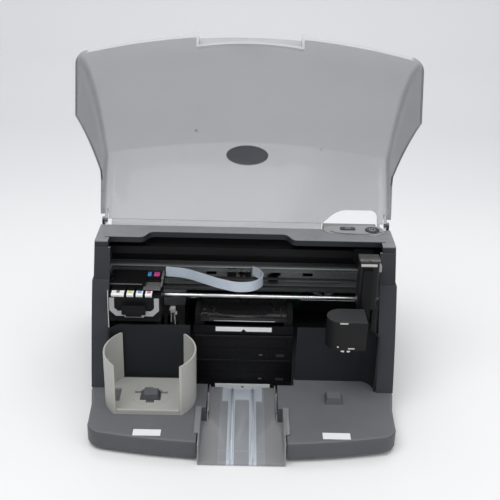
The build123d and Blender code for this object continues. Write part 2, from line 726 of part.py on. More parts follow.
with BuildPart() as shut_lid:
    add(shell_out)
    wall = LID_WALL
    add(shell_in - scoop(wall, wall, LID_FOOT_Z, LID_FOOT_Z + SCOOP_H + wall), mode=Mode.SUBTRACT)
    add(scoop(0, 0, LID_FOOT_Z - 1, LID_FOOT_Z + SCOOP_H), mode=Mode.SUBTRACT)
    for side in (-1, 1):
        with BuildSketch(Plane.XY.offset(LID_FOOT_Z)):
            tip = foot_y(SCOOP_HALF) - TAB_OUT
            Polygon(
                (side * GRIP_HALF, foot_y(GRIP_HALF) + 0.2), (side * (SCOOP_HALF + 3), tip),
                (side * SCOOP_HALF, tip + 1), (side * SCOOP_HALF, foot_y(SCOOP_HALF) + 2.5),
                (side * GRIP_HALF, foot_y(GRIP_HALF) + 2.5), align=None,
            )
        extrude(amount=TAB_H)
    for side in (-1, 1):
        x0, x1 = sorted((side * EAR_X, side * (EAR_X + EAR_T)))
        n0, n1 = sorted((side * (EAR_X - GAP), side * (HALF + 1)))
        block(n0, n1, HINGE_Y - EAR_NOTCH, HINGE_Y, HINGE_Z - 9, 270, Mode.SUBTRACT)
        rod(x0, HINGE_Y, HINGE_Z, EAR_R, EAR_T, (1, 0, 0))
        block(x0, x1, HINGE_Y - EAR_NOTCH - 3, HINGE_Y, HINGE_Z, HINGE_Z + EAR_R)
        web_y = HINGE_Y - EAR_NOTCH
        block(x0, x1, web_y - 8, web_y, HINGE_Z, HINGE_Z + EAR_H)
        rod(x0 - 1, HINGE_Y, HINGE_Z, PIN_R + FIT, EAR_T + 2, (1, 0, 0), Mode.SUBTRACT)
    cut_y = HINGE_Y - CUTOUT_D
    with BuildSketch(Plane.XY.offset(LID_TOP_REAR_Z - 12)):
        with BuildLine():
            Spline(
                (CUTOUT_X0, HINGE_Y - 1), (CUTOUT_X0 + 40, cut_y), tangents=((0.8, -0.6), (1, 0))
            )
            Line((CUTOUT_X0 + 40, cut_y), (CUTOUT_X1 - 10, cut_y))
            ThreePointArc(
                (CUTOUT_X1 - 10, cut_y), (CUTOUT_X1 - 2.9, cut_y + 2.9), (CUTOUT_X1, cut_y + 10)
            )
            Polyline(
                (CUTOUT_X1, cut_y + 10), (CUTOUT_X1, HINGE_Y + 9), (CUTOUT_X0, HINGE_Y + 9),
                (CUTOUT_X0, HINGE_Y - 1),
            )
        make_face()
    extrude(amount=30, mode=Mode.SUBTRACT)
save(swung(shut_lid.part), "lid")

badge_y = HINGE_Y - BADGE_ALONG / math.hypot(1, LID_TOP_RISE)
with BuildPart() as shut_badge:
    badge_plane = Plane(
        origin=(0, badge_y, lid_top(badge_y)), x_dir=(1, 0, 0), z_dir=(0, LID_TOP_RISE, 1)
    )
    with BuildSketch(badge_plane):
        Ellipse(BADGE_A, BADGE_B)
    extrude(amount=BADGE_T)
save(swung(shut_badge.part), "lid_badge")

with BuildPart() as hinge_pins:
    for side in (-1, 1):
        boss_x = side * (EAR_X + EAR_T + GAP)
        rod(boss_x, HINGE_Y, HINGE_Z, PIN_R, EAR_T + 2 * GAP, (-side, 0, 0))
save(hinge_pins, "hinge_pins")

# ---------------------------------------------------------------- disc drives
with BuildPart() as drive_cage:
    cage_out = CAGE_X + CAGE_T
    cage_y0 = DRIVE_FACE_Y + BEZEL_T + GAP
    cage_y1 = DRIVE_FACE_Y + BEZEL_T + DRIVE_L
    block(-cage_out, -CAGE_X, cage_y0, cage_y1, BASE_Z, DRIVE_TOP + CAGE_T)
    block(CAGE_X, cage_out, cage_y0, cage_y1, BASE_Z, DRIVE_TOP + CAGE_T)
    block(-CAGE_X, CAGE_X, cage_y0, cage_y1, DRIVE_TOP, DRIVE_TOP + CAGE_T)
    block(-CAGE_X, CAGE_X, cage_y0, cage_y1, DRIVE_Z - CAGE_T, DRIVE_Z)
    block(-cage_out, cage_out, cage_y0, cage_y0 + CAGE_T, DRIVE_TOP, DRIVE_TOP + UPPER_BAR_H)
    block(-cage_out, cage_out, DRIVE_FACE_Y, cage_y0 + CAGE_T, LOW_BAR_Z, DRIVE_Z - GAP)
save(drive_cage, "drive_cage")

strip_upper_y = DRIVE_FACE_Y + BEZEL_T + GAP
with BuildPart() as marker_strips:
    for strip_z, strip_y in (
        (DRIVE_TOP + UPPER_BAR_H - STRIP_H / 2 - 2, strip_upper_y),
        (DRIVE_Z - GAP - STRIP_H / 2 - 1, DRIVE_FACE_Y),
    ):
        with BuildSketch(Plane(origin=(0, strip_y, strip_z), x_dir=(1, 0, 0), z_dir=(0, -1, 0))):
            Rectangle(2 * STRIP_HALF, STRIP_H)
            with Locations((0, -STRIP_H / 2)):
                Polygon((-NOTCH, 0), (NOTCH, 0), (0, NOTCH), align=None, mode=Mode.SUBTRACT)
        extrude(amount=STRIP_T)
save(marker_strips, "marker_strips")

with BuildPart() as lower_bar:
    with BuildSketch(Plane(origin=(0, DRIVE_FACE_Y, 0), x_dir=(1, 0, 0), z_dir=(0, -1, 0))):
        with BuildLine():
            Polyline(
                (-BAR_HALF, BAR_Z1), (BAR_HALF, BAR_Z1), (BAR_HALF - 12, BAR_Z0),
                (-BAR_HALF + 12, BAR_Z0), close=True,
            )
        make_face()
    extrude(amount=BAR_T)
save(lower_bar, "lower_bar")


def disc_drive(prefix, z):
    """Case, front, tray and eject button of one half-height drive standing at height z."""
    face = DRIVE_FACE_Y
    body_y0 = face + BEZEL_T
    body_y1 = body_y0 + DRIVE_L
    plate_z = z + DOOR_Z0 + 2
    with BuildPart() as case:
        block(-DRIVE_W / 2, DRIVE_W / 2, body_y0, body_y1, z, z + DRIVE_H)
        block(
            -DRIVE_W / 2 + CASE_T, DRIVE_W / 2 - CASE_T, body_y0 - 1, body_y1 - CASE_T,
            z + CASE_T, z + DRIVE_H - CASE_T, Mode.SUBTRACT,
        )
        for side in (-1, 1):
            x0, x1 = sorted((side * (TRAY_HALF - 4), side * (DRIVE_W / 2 - CASE_T / 2)))
            block(x0, x1, body_y0 + 1, body_y1, plate_z - GAP - 2, plate_z - GAP)
    save(case, f"{prefix}_drive_case")
    with BuildPart() as bezel:
        block(-BEZEL_W / 2, BEZEL_W / 2, face, body_y0, z, z + DRIVE_PITCH - 0.4)
        fillet(bezel.faces().sort_by(Axis.Y)[0].edges(), radius=0.8)
        block(
            -DOOR_HALF - BUTTON_CLEAR, DOOR_HALF + BUTTON_CLEAR, face - 1, body_y0 + 1,
            z + DOOR_Z0 - BUTTON_CLEAR, z + DOOR_Z1 + BUTTON_CLEAR, Mode.SUBTRACT,
        )
        block(
            EJECT_X - EJECT_L / 2 - BUTTON_CLEAR, EJECT_X + EJECT_L / 2 + BUTTON_CLEAR,
            face - 1, body_y0 + 1, z + EJECT_Z - EJECT_H / 2 - BUTTON_CLEAR,
            z + EJECT_Z + EJECT_H / 2 + BUTTON_CLEAR, Mode.SUBTRACT,
        )
    save(bezel, f"{prefix}_drive_bezel")
    with BuildPart() as tray:
        block(-DOOR_HALF, DOOR_HALF, face, face + 3, z + DOOR_Z0, z + DOOR_Z1)
        block(-TRAY_HALF, TRAY_HALF, face + 2.5, face + TRAY_L, plate_z, plate_z + TRAY_T)
        rod(
            0, TRAY_DISC_Y, plate_z + TRAY_T - 1.5, DISC_R + DISC_CLEAR, 3, (0, 0, 1),
            Mode.SUBTRACT,
        )
        block(-12, 12, TRAY_DISC_Y - 12, TRAY_DISC_Y + 60, plate_z - 1, plate_z + 5, Mode.SUBTRACT)
    save(tray, f"{prefix}_drive_tray")
    with BuildPart() as eject:
        block(
            EJECT_X - EJECT_L / 2, EJECT_X + EJECT_L / 2, face - 0.8, face + 6,
            z + EJECT_Z - EJECT_H / 2, z + EJECT_Z + EJECT_H / 2,
        )
    save(eject, f"{prefix}_eject_button")


disc_drive("lower", DRIVE_Z)
disc_drive("upper", DRIVE_Z + DRIVE_PITCH)

# ---------------------------------------------------------------- chute and input bin
CHUTE_SLOPE = (CHUTE_Z1 - CHUTE_Z0) / (CHUTE_REAR_Y - CHUTE_FRONT_Y)


def chute_z(y):
    """Underside of the chute floor at depth y."""
    return CHUTE_Z0 + (y - CHUTE_FRONT_Y) * CHUTE_SLOPE


def chute_strip(x0, x1, y0, y1, t):
    """A sloping strip of the chute's floor, or a wall of it, inside a BuildPart."""
    with BuildSketch(Plane.YZ.offset(x0)) as side_view:
        Polygon(
            (y0, chute_z(y0)), (y1, chute_z(y1)), (y1, chute_z(y1) + t), (y0, chute_z(y0) + t),
            align=None,
        )
    extrude(side_view.sketch, amount=x1 - x0)


def chute_wall(x0, x1, y0, y1, top):
    """An upright side wall of the chute that ends level at the top, inside a BuildPart."""
    with BuildSketch(Plane.YZ.offset(x0)) as side_view:
        Polygon((y0, chute_z(y0)), (y1, chute_z(y1)), (y1, top), (y0, top), align=None)
    extrude(side_view.sketch, amount=x1 - x0)


with BuildPart() as output_chute:
    t = CHUTE_T
    top = PLATEAU_Z + GAP
    chute_strip(-CHUTE_WIDE, CHUTE_WIDE, CHUTE_FRONT_Y, CHUTE_STEP_Y, t)
    chute_strip(-CHUTE_NARROW, CHUTE_NARROW, CHUTE_STEP_Y - 1, CHUTE_REAR_Y, t)
    for side in (-1, 1):
        x0, x1 = sorted((side * CHUTE_WIDE, side * (CHUTE_WIDE - t)))
        chute_wall(x0, x1, CHUTE_FRONT_Y, CHUTE_STEP_Y, top + t)
        x0, x1 = sorted((side * (CHUTE_WIDE - t), side * (CHUTE_WIDE + CHANNEL_CLEAR + 4)))
        block(x0, x1, BASE_CORNER_Y, CHUTE_STEP_Y, top, top + t)
        x0, x1 = sorted((side * CHUTE_NARROW, side * (CHUTE_NARROW - t)))
        chute_wall(x0, x1, CHUTE_STEP_Y, CHUTE_REAR_Y, top - 6)
        x0, x1 = sorted((side * (CHUTE_RIB_X - 2), side * (CHUTE_RIB_X + 2)))
        chute_strip(x0, x1, CHUTE_FRONT_Y + 6, CHUTE_REAR_Y - 8, t + 2.5)
save(output_chute, "output_chute")


with BuildPart() as input_bin:
    floor_z = PLATEAU_Z
    flat = BIN_FLAT
    with BuildSketch(Plane(origin=(BIN_X, BIN_Y, floor_z))):
        Circle(BIN_R)
        Rectangle(3 * BIN_R, 2 * flat, mode=Mode.INTERSECT)
    extrude(amount=BIN_TOP - floor_z)
    with BuildSketch(Plane(origin=(BIN_X, BIN_Y, floor_z + BIN_FLOOR_T))):
        Circle(BIN_R - BIN_WALL)
    extrude(amount=BIN_TOP, mode=Mode.SUBTRACT)
    hole = BLOCK_CLEAR
    block(
        BIN_X - BLOCK_L / 2 - hole, BIN_X + BLOCK_L / 2 + hole, BIN_Y - BLOCK_W / 2 - hole,
        BIN_Y + BLOCK_W / 2 + hole, floor_z - 1, floor_z + BIN_FLOOR_T + 1, Mode.SUBTRACT,
    )
    block(
        BIN_X - SLOT_HALF, BIN_X + SLOT_HALF, BIN_Y + 4, BIN_Y + 9, floor_z - 1,
        floor_z + BIN_FLOOR_T + 1, Mode.SUBTRACT,
    )
    block(
        BIN_X - 6, BIN_X + 6, BIN_Y - BLOCK_W / 2 - 8, BIN_Y, floor_z - 1,
        floor_z + BIN_FLOOR_T + 1, Mode.SUBTRACT,
    )
    block(
        BIN_X - 10, BIN_X + 2, BIN_Y, BIN_Y + BLOCK_W / 2 + 8, floor_z - 1,
        floor_z + BIN_FLOOR_T + 1, Mode.SUBTRACT,
    )
    window_x = BIN_X - BIN_R
    block(
        window_x - 5, window_x + 22, BIN_Y - WINDOW_HALF, BIN_Y + WINDOW_HALF, floor_z - 1,
        WINDOW_TOP, Mode.SUBTRACT,
    )
    rod(
        window_x - 5, BIN_Y, WINDOW_TOP, WINDOW_HALF, 27, (1, 0, 0), Mode.SUBTRACT,
    )
save(input_bin, "input_bin")

with BuildPart() as bay_labels:
    for lx in (-LABEL_X, LABEL_X):
        block(
            lx - LABEL_L / 2, lx + LABEL_L / 2, LABEL_Y - LABEL_W / 2, LABEL_Y + LABEL_W / 2,
            PLATEAU_Z, PLATEAU_Z + LABEL_T,
        )
save(bay_labels, "bay_labels")

# ---------------------------------------------------------------- print engine
with BuildPart() as rail_frame:
    leg_x = FRAME_X + FRAME_T
    leg_y1 = FRAME_BACK_Y + FRAME_T
    block(-leg_x, leg_x, FRAME_BACK_Y, leg_y1, BACK_LOW_Z, BACK_HIGH_Z)
    block(-leg_x, leg_x, FLANGE_Y, FRAME_BACK_Y, FRAME_HIGH_Z - FRAME_T, FRAME_HIGH_Z)
    block(-leg_x, leg_x, FLANGE_Y, FRAME_BACK_Y, FRAME_LOW_Z, FRAME_LOW_Z + FRAME_T)
    block(-leg_x, leg_x, FLANGE_Y, FLANGE_Y + FRAME_T, FRAME_LOW_Z - 5, FRAME_LOW_Z + FRAME_T)
    for side in (-1, 1):
        x0, x1 = sorted((side * FRAME_X, side * leg_x))
        block(x0, x1, LEG_Y0, leg_y1, BASE_Z, FRAME_HIGH_Z)
        rod(x0 - 1, ROD_Y, ROD_Z, ROD_R + FIT, FRAME_T + 2, (1, 0, 0), Mode.SUBTRACT)
    for n in range(5):
        slot_x = -110 + n * 50
        block(
            slot_x, slot_x + 16, FRAME_BACK_Y - 1, leg_y1 + 1, FRAME_LOW_Z + 12,
            FRAME_LOW_Z + 18, Mode.SUBTRACT,
        )
    rod(BELT_X, BELT_Y - 1.5, BELT_Z, BELT_R, FRAME_BACK_Y - BELT_Y + 1.5, (0, 1, 0))
    rod(-BELT_X, FRAME_BACK_Y - 1, BELT_Z, SHAFT_R + GAP, FRAME_T + 2, (0, 1, 0), Mode.SUBTRACT)
save(rail_frame, "rail_frame")

with BuildPart() as guide_rod:
    rod(-ROD_HALF, ROD_Y, ROD_Z, ROD_R, 2 * ROD_HALF, (1, 0, 0))
    chamfer(guide_rod.edges().filter_by(GeomType.CIRCLE), length=0.5)
save(guide_rod, "guide_rod")

with BuildPart() as encoder_strip:
    block(-FRAME_X, FRAME_X, ENCODER_Y + 0.6, ENCODER_Y + 0.9, ENCODER_Z, ENCODER_Z + 5)
save(encoder_strip, "encoder_strip")

cx0 = CARRIAGE_X - CARRIAGE_W / 2
cx1 = CARRIAGE_X + CARRIAGE_W / 2
cell_x0 = cx0 + 3
cells = [("black_cartridge", BLACK_W)]
cells += [(f"{name}_cartridge", COLOUR_W) for name in ("yellow", "cyan", "magenta")]
with BuildPart() as carriage_body:
    block(cx0, cx1, CARRIAGE_Y0, 6, CARRIAGE_Z0, CARRIAGE_Z1)
    x = cell_x0
    for name, w in cells:
        block(
            x, x + w, CARRIAGE_Y0 + 3, 2, CARRIAGE_Z0 + 3, CARRIAGE_Z1 + 1, Mode.SUBTRACT
        )
        x += w + 1.5
    block(cx0 + 2, cx1 - 2, 6, BELT_Y - BELT_T, CARRIAGE_Z0 + 2, BELT_Z - BELT_R - BELT_T - 1)
    block(cx0 + 6, cx1 - 6, 6, BELT_Y - 2, BELT_Z - BELT_R - BELT_T - 2, CARRIAGE_Z1)
    rod(cx0 - 1, ROD_Y, ROD_Z, ROD_R + FIT, CARRIAGE_W + 2, (1, 0, 0), Mode.SUBTRACT)
save(carriage_body, "carriage_body")

x = cell_x0
for name, w in cells:
    with BuildPart() as cartridge:
        block(
            x + CART_CLEAR / 2, x + w - CART_CLEAR / 2, CARRIAGE_Y0 + 3 + CART_CLEAR,
            2 - CART_CLEAR, CARRIAGE_Z0 + 3, CART_Z1,
        )
        chamfer(cartridge.faces().sort_by(Axis.Z)[-1].edges().sort_by(Axis.Y)[0], length=3)
    save(cartridge, name)
    x += w + 1.5

with BuildPart() as carriage_cover:
    block(cx0 - 2, cx0 + 52, -24, 22, CART_Z1 + GAP, CART_Z1 + GAP + 6)
    block(cx0 + 52, cx1 + 2, -8, 22, CART_Z1 + GAP, CART_Z1 + GAP + 4)
    block(cx0 - 2, cx1 + 2, 7, 20, CARRIAGE_Z1, CART_Z1 + GAP)
    fillet(carriage_cover.edges().filter_by(Axis.Z).sort_by(Axis.Y)[0:2], radius=3)
save(carriage_cover, "carriage_cover")

latch_y = CARRIAGE_Y0 - GAP
latch_z = CARRIAGE_Z1 - 3
with BuildPart() as carriage_latch:
    with BuildSketch(Plane(origin=(CARRIAGE_X, latch_y, 0), x_dir=(1, 0, 0), z_dir=(0, -1, 0))):
        half = CARRIAGE_W / 2 - 2
        with BuildLine():
            Polyline(
                (-half, latch_z + 3), (-half, latch_z - 16), (-half + 9, latch_z - 25),
                (half - 9, latch_z - 25), (half, latch_z - 16), (half, latch_z + 3),
                (half - 7, latch_z + 3), (half - 7, latch_z - 13), (half - 12, latch_z - 18),
                (-half + 12, latch_z - 18), (-half + 7, latch_z - 13), (-half + 7, latch_z + 3),
                close=True,
            )
        make_face()
    extrude(amount=LATCH_T)
    block(
        CARRIAGE_X - 14, CARRIAGE_X + 14, latch_y - LATCH_T - 2, latch_y,
        latch_z - 26, latch_z - 12,
    )
save(carriage_latch, "carriage_latch")

# the flat cable stands on edge and loops forward between the carriage and the rail
with BuildPart() as ribbon_cable:
    with BuildSketch(Plane.XY.offset(RIBBON_Z0)):
        with BuildLine() as ribbon_path:
            FilletPolyline(
                (cx1 + 2.3, 20), (-90, 16), (-40, -16), (-12, -29), (14, -25), (29, -4),
                (24, 16), (12, ENCODER_Y - 2), radius=[60, 60, 40, 26, 22, 22],
            )
        trace(line_width=RIBBON_T)
    extrude(amount=RIBBON_Z1 - RIBBON_Z0)
save(ribbon_cable, "ribbon_cable")

with BuildPart() as carriage_belt:
    with BuildSketch(Plane(origin=(0, BELT_Y, BELT_Z), x_dir=(1, 0, 0), z_dir=(0, -1, 0))):
        outer_r = BELT_R + GAP + BELT_T
        SlotCenterToCenter(2 * BELT_X, 2 * outer_r)
        SlotCenterToCenter(2 * BELT_X, 2 * (outer_r - BELT_T), mode=Mode.SUBTRACT)
    extrude(amount=-BELT_W)
save(carriage_belt, "carriage_belt")

with BuildPart() as drive_pulley:
    rod(-BELT_X, BELT_Y - 0.5, BELT_Z, BELT_R, BELT_W + 1, (0, 1, 0))
    rod(-BELT_X, BELT_Y - 1, BELT_Z, SHAFT_R + FIT, BELT_W + 3, (0, 1, 0), Mode.SUBTRACT)
    rod(-BELT_X + 3.6, BELT_Y - 1, BELT_Z, 0.8, BELT_W + 3, (0, 1, 0), Mode.SUBTRACT)
save(drive_pulley, "drive_pulley")

with BuildPart() as carriage_motor:
    motor_y = FRAME_BACK_Y + FRAME_T
    rod(-BELT_X, motor_y, BELT_Z, MOTOR_R, MOTOR_L, (0, 1, 0))
    rod(-BELT_X, motor_y + MOTOR_L, BELT_Z, MOTOR_R - 6, 3, (0, 1, 0))
    rod(-BELT_X, BELT_Y - 1.5, BELT_Z, SHAFT_R, motor_y - BELT_Y + 1.5, (0, 1, 0))
save(carriage_motor, "carriage_motor")

with BuildPart() as service_station:
    block(SERVICE_X0, SERVICE_X1, SERVICE_Y0, SERVICE_Y1, BASE_Z, CARRIAGE_Z0 - 10)
    block(SERVICE_X0 + 6, SERVICE_X1 - 6, SERVICE_Y0 + 6, SERVICE_Y1 - 6, CARRIAGE_Z0 - 10, CARRIAGE_Z0 - 2)
    block(
        SERVICE_X0 + 8, SERVICE_X1 - 8, SERVICE_Y0 + 8, SERVICE_Y1 - 8, CARRIAGE_Z0 - 6,
        CARRIAGE_Z0, Mode.SUBTRACT,
    )
save(service_station, "service_station")

guide_top = TRAY2_Z + TRAY2_T + 4
with BuildPart() as tray_guides:
    for side in (-1, 1):
        x0, x1 = sorted((side * (GUIDE_X + GAP), side * (GUIDE_X + GAP + GUIDE_T)))
        block(x0, x1, DRIVE_FACE_Y + 8, 110, DRIVE_TOP + CAGE_T, guide_top)
        x2, x3 = sorted((side * (GUIDE_X - 5), side * (GUIDE_X + GAP)))
        block(x2, x3, DRIVE_FACE_Y + 8, 110, DRIVE_TOP + CAGE_T, TRAY2_Z - GAP)
save(tray_guides, "tray_guides")

with BuildPart() as print_tray:
    block(-GUIDE_X, GUIDE_X, TRAY_DISC_Y - 62.5, DRIVE_FACE_Y + TRAY_L, TRAY2_Z, TRAY2_Z + TRAY2_T)
    rod(0, TRAY_DISC_Y, TRAY2_Z + TRAY2_T - 1.5, DISC_R + DISC_CLEAR, 4, (0, 0, 1), Mode.SUBTRACT)
    rod(0, TRAY_DISC_Y, TRAY2_Z + 2, 7.2, TRAY2_T, (0, 0, 1))
save(print_tray, "print_tray")

# ---------------------------------------------------------------- picking arm
rail_in = RAIL_S / 2
with BuildPart() as arm_rail:
    block(-RAIL_HALF, RAIL_HALF, RAIL_Y - rail_in, RAIL_Y + rail_in, RAIL_Z - rail_in, RAIL_Z + rail_in)
    x_end = HALF - SEAM_STEP - SHELL
    for side in (-1, 1):
        x0, x1 = sorted((side * (RAIL_HALF - 0.5), side * x_end))
        block(x0, x1, RAIL_Y - 9, RAIL_Y + 9, RAIL_Z - 9, RAIL_Z + 9)
save(arm_rail, "arm_rail")

with BuildPart() as arm_carriage:
    hole = rail_in + RAIL_CLEAR
    block(ARM_X - 14, ARM_X + 14, RAIL_Y - 11, RAIL_Y + 11, RAIL_Z - 11, RAIL_Z + 11)
    block(ARM_X - 11, ARM_X + 11, COLUMN_Y1, RAIL_Y - 10, RAIL_Z - 10, RAIL_Z + 8)
    block(
        ARM_X - 15, ARM_X + 15, RAIL_Y - hole, RAIL_Y + hole, RAIL_Z - hole, RAIL_Z + hole,
        Mode.SUBTRACT,
    )
save(arm_carriage, "arm_carriage")

col_x0 = ARM_X - COLUMN_W / 2
col_x1 = ARM_X + COLUMN_W / 2
with BuildPart() as arm_column:
    block(col_x0, col_x1, COLUMN_Y0, COLUMN_Y1, COLUMN_Z0, COLUMN_Z1)
    fillet(arm_column.edges().filter_by(Axis.Z).sort_by(Axis.Y)[0:2], radius=3)
    block(
        col_x0 + 3, col_x1 - 3, COLUMN_Y0 + 3, COLUMN_Y1 - 3, COLUMN_Z0 + 2, COLUMN_Z1 + 1,
        Mode.SUBTRACT,
    )
    rod(ARM_X, -44, COLUMN_Z0 - 1, SCREW_R + FIT, 4, (0, 0, 1), Mode.SUBTRACT)
save(arm_column, "arm_column")

with BuildPart() as column_cap:
    block(col_x0 - 1, col_x1 + 1, COLUMN_Y0 - 1, COLUMN_Y1 + 1, COLUMN_Z1, COLUMN_Z1 + CAP_T)
    fillet(column_cap.edges().filter_by(Axis.Z), radius=3)
    fillet(column_cap.faces().sort_by(Axis.Z)[-1].edges(), radius=1)
save(column_cap, "column_cap")

with BuildPart() as lift_screw:
    rod(ARM_X, -44, COLUMN_Z0 - 6, SCREW_R, COLUMN_Z1 - COLUMN_Z0 + 2, (0, 0, 1))
    rod(ARM_X, -44, COLUMN_Z0 + 2 + GAP, SCREW_R + 3, 3, (0, 0, 1))
    block(ARM_X - 4.5, ARM_X + 4.5, -45, -43, COLUMN_Z0 + 7, COLUMN_Z0 + 9)
save(lift_screw, "lift_screw")

slide_x0 = ARM_X - 9
slide_x1 = slide_x0 + SLIDER_W
slide_y1 = COLUMN_Y0 - GAP
slide_y0 = slide_y1 - SLIDER_T
with BuildPart() as lift_slider:
    block(slide_x0, slide_x1, slide_y0, slide_y1, HEAD_Z0 - 4, COLUMN_Z1 - 10)
    block(HEAD_X, slide_x1, HEAD_Y1, slide_y1, HEAD_Z0 + 4, HEAD_Z0 + 24)
save(lift_slider, "lift_slider")

with BuildPart() as gripper_body:
    with BuildSketch(Plane.XY.offset(HEAD_Z0)) as head_plan:
        head_r = (HEAD_Y1 - HEAD_Y0) / 2
        head_mid = (HEAD_Y0 + HEAD_Y1) / 2
        with Locations((HEAD_X + head_r / 2, head_mid)):
            Rectangle(HEAD_W - head_r, 2 * head_r)
        with Locations((HEAD_X - HEAD_W / 2 + head_r, head_mid)):
            Circle(head_r)
    extrude(amount=HEAD_Z1 - HEAD_Z0)
    fillet(gripper_body.faces().sort_by(Axis.Z)[-1].edges(), radius=1.2)
    block(HEAD_X - 9, HEAD_X + 9, FINGER_Y - 5, FINGER_Y + 5, HEAD_Z0 - 1, HEAD_Z0 + 8, Mode.SUBTRACT)
save(gripper_body, "gripper_body")

for side, name in ((-1, "left"), (1, "right")):
    with BuildPart() as finger:
        x0, x1 = sorted((HEAD_X + side * 2.0, HEAD_X + side * 5.5))
        block(x0, x1, FINGER_Y - 3, FINGER_Y + 3, HEAD_Z0 - FINGER_H, HEAD_Z0 + 8 - GAP)
        x2, x3 = sorted((HEAD_X + side * 5.0, HEAD_X + side * 6.6))
        block(x2, x3, FINGER_Y - 2, FINGER_Y + 2, HEAD_Z0 - FINGER_H, HEAD_Z0 - FINGER_H + 2)
    save(finger, f"gripper_finger_{name}")

# ---------------------------------------------------------------- electronics and fasteners
with BuildPart() as main_board:
    block(BOARD_X0, BOARD_X1, BOARD_Y, BOARD_Y + BOARD_T, BOARD_Z0, BOARD_Z1)
    block(
        PORT_X - PORT_S / 2 + 0.5, PORT_X + PORT_S / 2 - 0.5, BOARD_Y, REAR_Y - 1,
        PORT_Z - PORT_S / 2 + 0.5, PORT_Z + PORT_S / 2 - 0.5,
    )
    for x0, z0, w, h in ((-20, 100, 26, 26), (30, 95, 18, 30), (60, 40, 30, 16), (-30, 34, 34, 12)):
        block(x0, x0 + w, BOARD_Y - 7, BOARD_Y, z0, z0 + h)
    for px in (BOARD_X0 + 6, BOARD_X1 - 6):
        for pz in (BOARD_Z0 + 6, BOARD_Z1 - 6):
            rod(px, BOARD_Y + BOARD_T, pz, 3, INNER_Y - BOARD_Y - BOARD_T, (0, 1, 0))
save(main_board, "main_board")

with BuildPart() as power_supply:
    block(PSU_X0, PSU_X1, PSU_Y0, PSU_Y1, BASE_Z, PSU_Z)
    block(
        PSU_X0 + CASE_T, PSU_X1 - CASE_T, PSU_Y0 + CASE_T, PSU_Y1 - CASE_T, BASE_Z + CASE_T,
        PSU_Z - CASE_T, Mode.SUBTRACT,
    )
    for n in range(8):
        slot_x = PSU_X0 + 12 + 10 * n
        block(slot_x, slot_x + 4, PSU_Y0 - 1, PSU_Y0 + 3, BASE_Z + 20, PSU_Z - 20, Mode.SUBTRACT)
    block(
        INLET_X - INLET_W / 2 + 0.5, INLET_X + INLET_W / 2 - 0.5, PSU_Y1 - 12, REAR_Y,
        INLET_Z - INLET_H / 2 + 0.5, INLET_Z + INLET_H / 2 - 0.5,
    )
    block(
        INLET_X - 10, INLET_X + 10, REAR_Y - 14, REAR_Y + 1, INLET_Z - 7, INLET_Z + 7,
        Mode.SUBTRACT,
    )
    for pin_x in (-6, 0, 6):
        block(
            INLET_X + pin_x - 1, INLET_X + pin_x + 1, REAR_Y - 15, REAR_Y - 3,
            INLET_Z - 2, INLET_Z + 2,
        )
save(power_supply, "power_supply")

with BuildPart() as fan_frame:
    half = FAN_FRAME / 2
    y0 = INNER_Y - FAN_T
    block(FAN_X - half, FAN_X + half, y0, INNER_Y, FAN_Z - half, FAN_Z + half)
    rod(FAN_X, y0 - 1, FAN_Z, FAN_R + 1, FAN_T + 2, (0, 1, 0), Mode.SUBTRACT)
    block(FAN_X - 2, FAN_X + 2, y0, y0 + 2, FAN_Z - half, FAN_Z + half)
    block(FAN_X - half, FAN_X + half, y0, y0 + 2, FAN_Z - 2, FAN_Z + 2)
    rod(FAN_X, y0, FAN_Z, 9, 2, (0, 1, 0))
    rod(FAN_X, y0, FAN_Z, 1.5, 6, (0, 1, 0))
save(fan_frame, "fan_frame")

with BuildPart() as fan_rotor:
    y0 = INNER_Y - FAN_T + 2 + GAP
    rod(FAN_X, y0, FAN_Z, 9, FAN_T - 4, (0, 1, 0))
    for n in range(7):
        angle = n * 360 / 7
        plane = Plane(origin=(FAN_X, y0 + 5, FAN_Z), x_dir=(1, 0, 0), z_dir=(0, -1, 0))
        with Locations(plane * Rotation(0, 0, angle) * Pos(17, 0, 0) * Rotation(35, 0, 0)):
            Box(18, 8, 1.4)
    rod(FAN_X, y0 - 1, FAN_Z, 1.5 + FIT, 7, (0, 1, 0), Mode.SUBTRACT)
save(fan_rotor, "fan_rotor")

with BuildPart() as cover_screws:
    for sx in (-205, -60, 70, 205):
        for sz in (45, 148):
            rod(sx, REAR_Y, sz, SCREW_HEAD_R, SCREW_HEAD_T, (0, 1, 0))
save(cover_screws, "cover_screws")
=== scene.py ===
"""Looks of a desktop disc label printer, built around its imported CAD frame.

+Z is up and the front faces -Y. Pieces are drawn in millimetres, and finish_mesh turns them
into metres. Materials and lights are in metres.
"""

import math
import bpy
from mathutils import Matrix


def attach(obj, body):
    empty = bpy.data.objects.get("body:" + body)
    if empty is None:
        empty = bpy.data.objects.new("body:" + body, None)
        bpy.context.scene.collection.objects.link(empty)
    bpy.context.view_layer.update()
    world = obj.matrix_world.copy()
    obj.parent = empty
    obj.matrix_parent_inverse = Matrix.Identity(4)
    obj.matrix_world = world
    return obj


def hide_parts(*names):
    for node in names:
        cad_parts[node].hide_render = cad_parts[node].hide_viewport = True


bl_info = {
    "name": "Disc label printer looks",
    "version": (1, 0),
    "blender": (4, 5, 0),
    "location": "View3D > Sidebar > Printer",
    "description": "Builds the surfaces, small parts and studio of a disc label printer",
    "category": "Object",
}

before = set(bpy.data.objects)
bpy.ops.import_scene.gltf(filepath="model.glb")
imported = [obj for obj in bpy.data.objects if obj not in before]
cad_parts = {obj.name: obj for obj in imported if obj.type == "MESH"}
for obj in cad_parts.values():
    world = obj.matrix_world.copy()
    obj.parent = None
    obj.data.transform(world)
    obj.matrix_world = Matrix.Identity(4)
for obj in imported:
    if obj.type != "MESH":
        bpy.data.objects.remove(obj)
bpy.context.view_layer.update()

import bmesh
import bpy
from bpy.props import FloatProperty, FloatVectorProperty, PointerProperty
from mathutils import Matrix, Vector

MM = 0.001


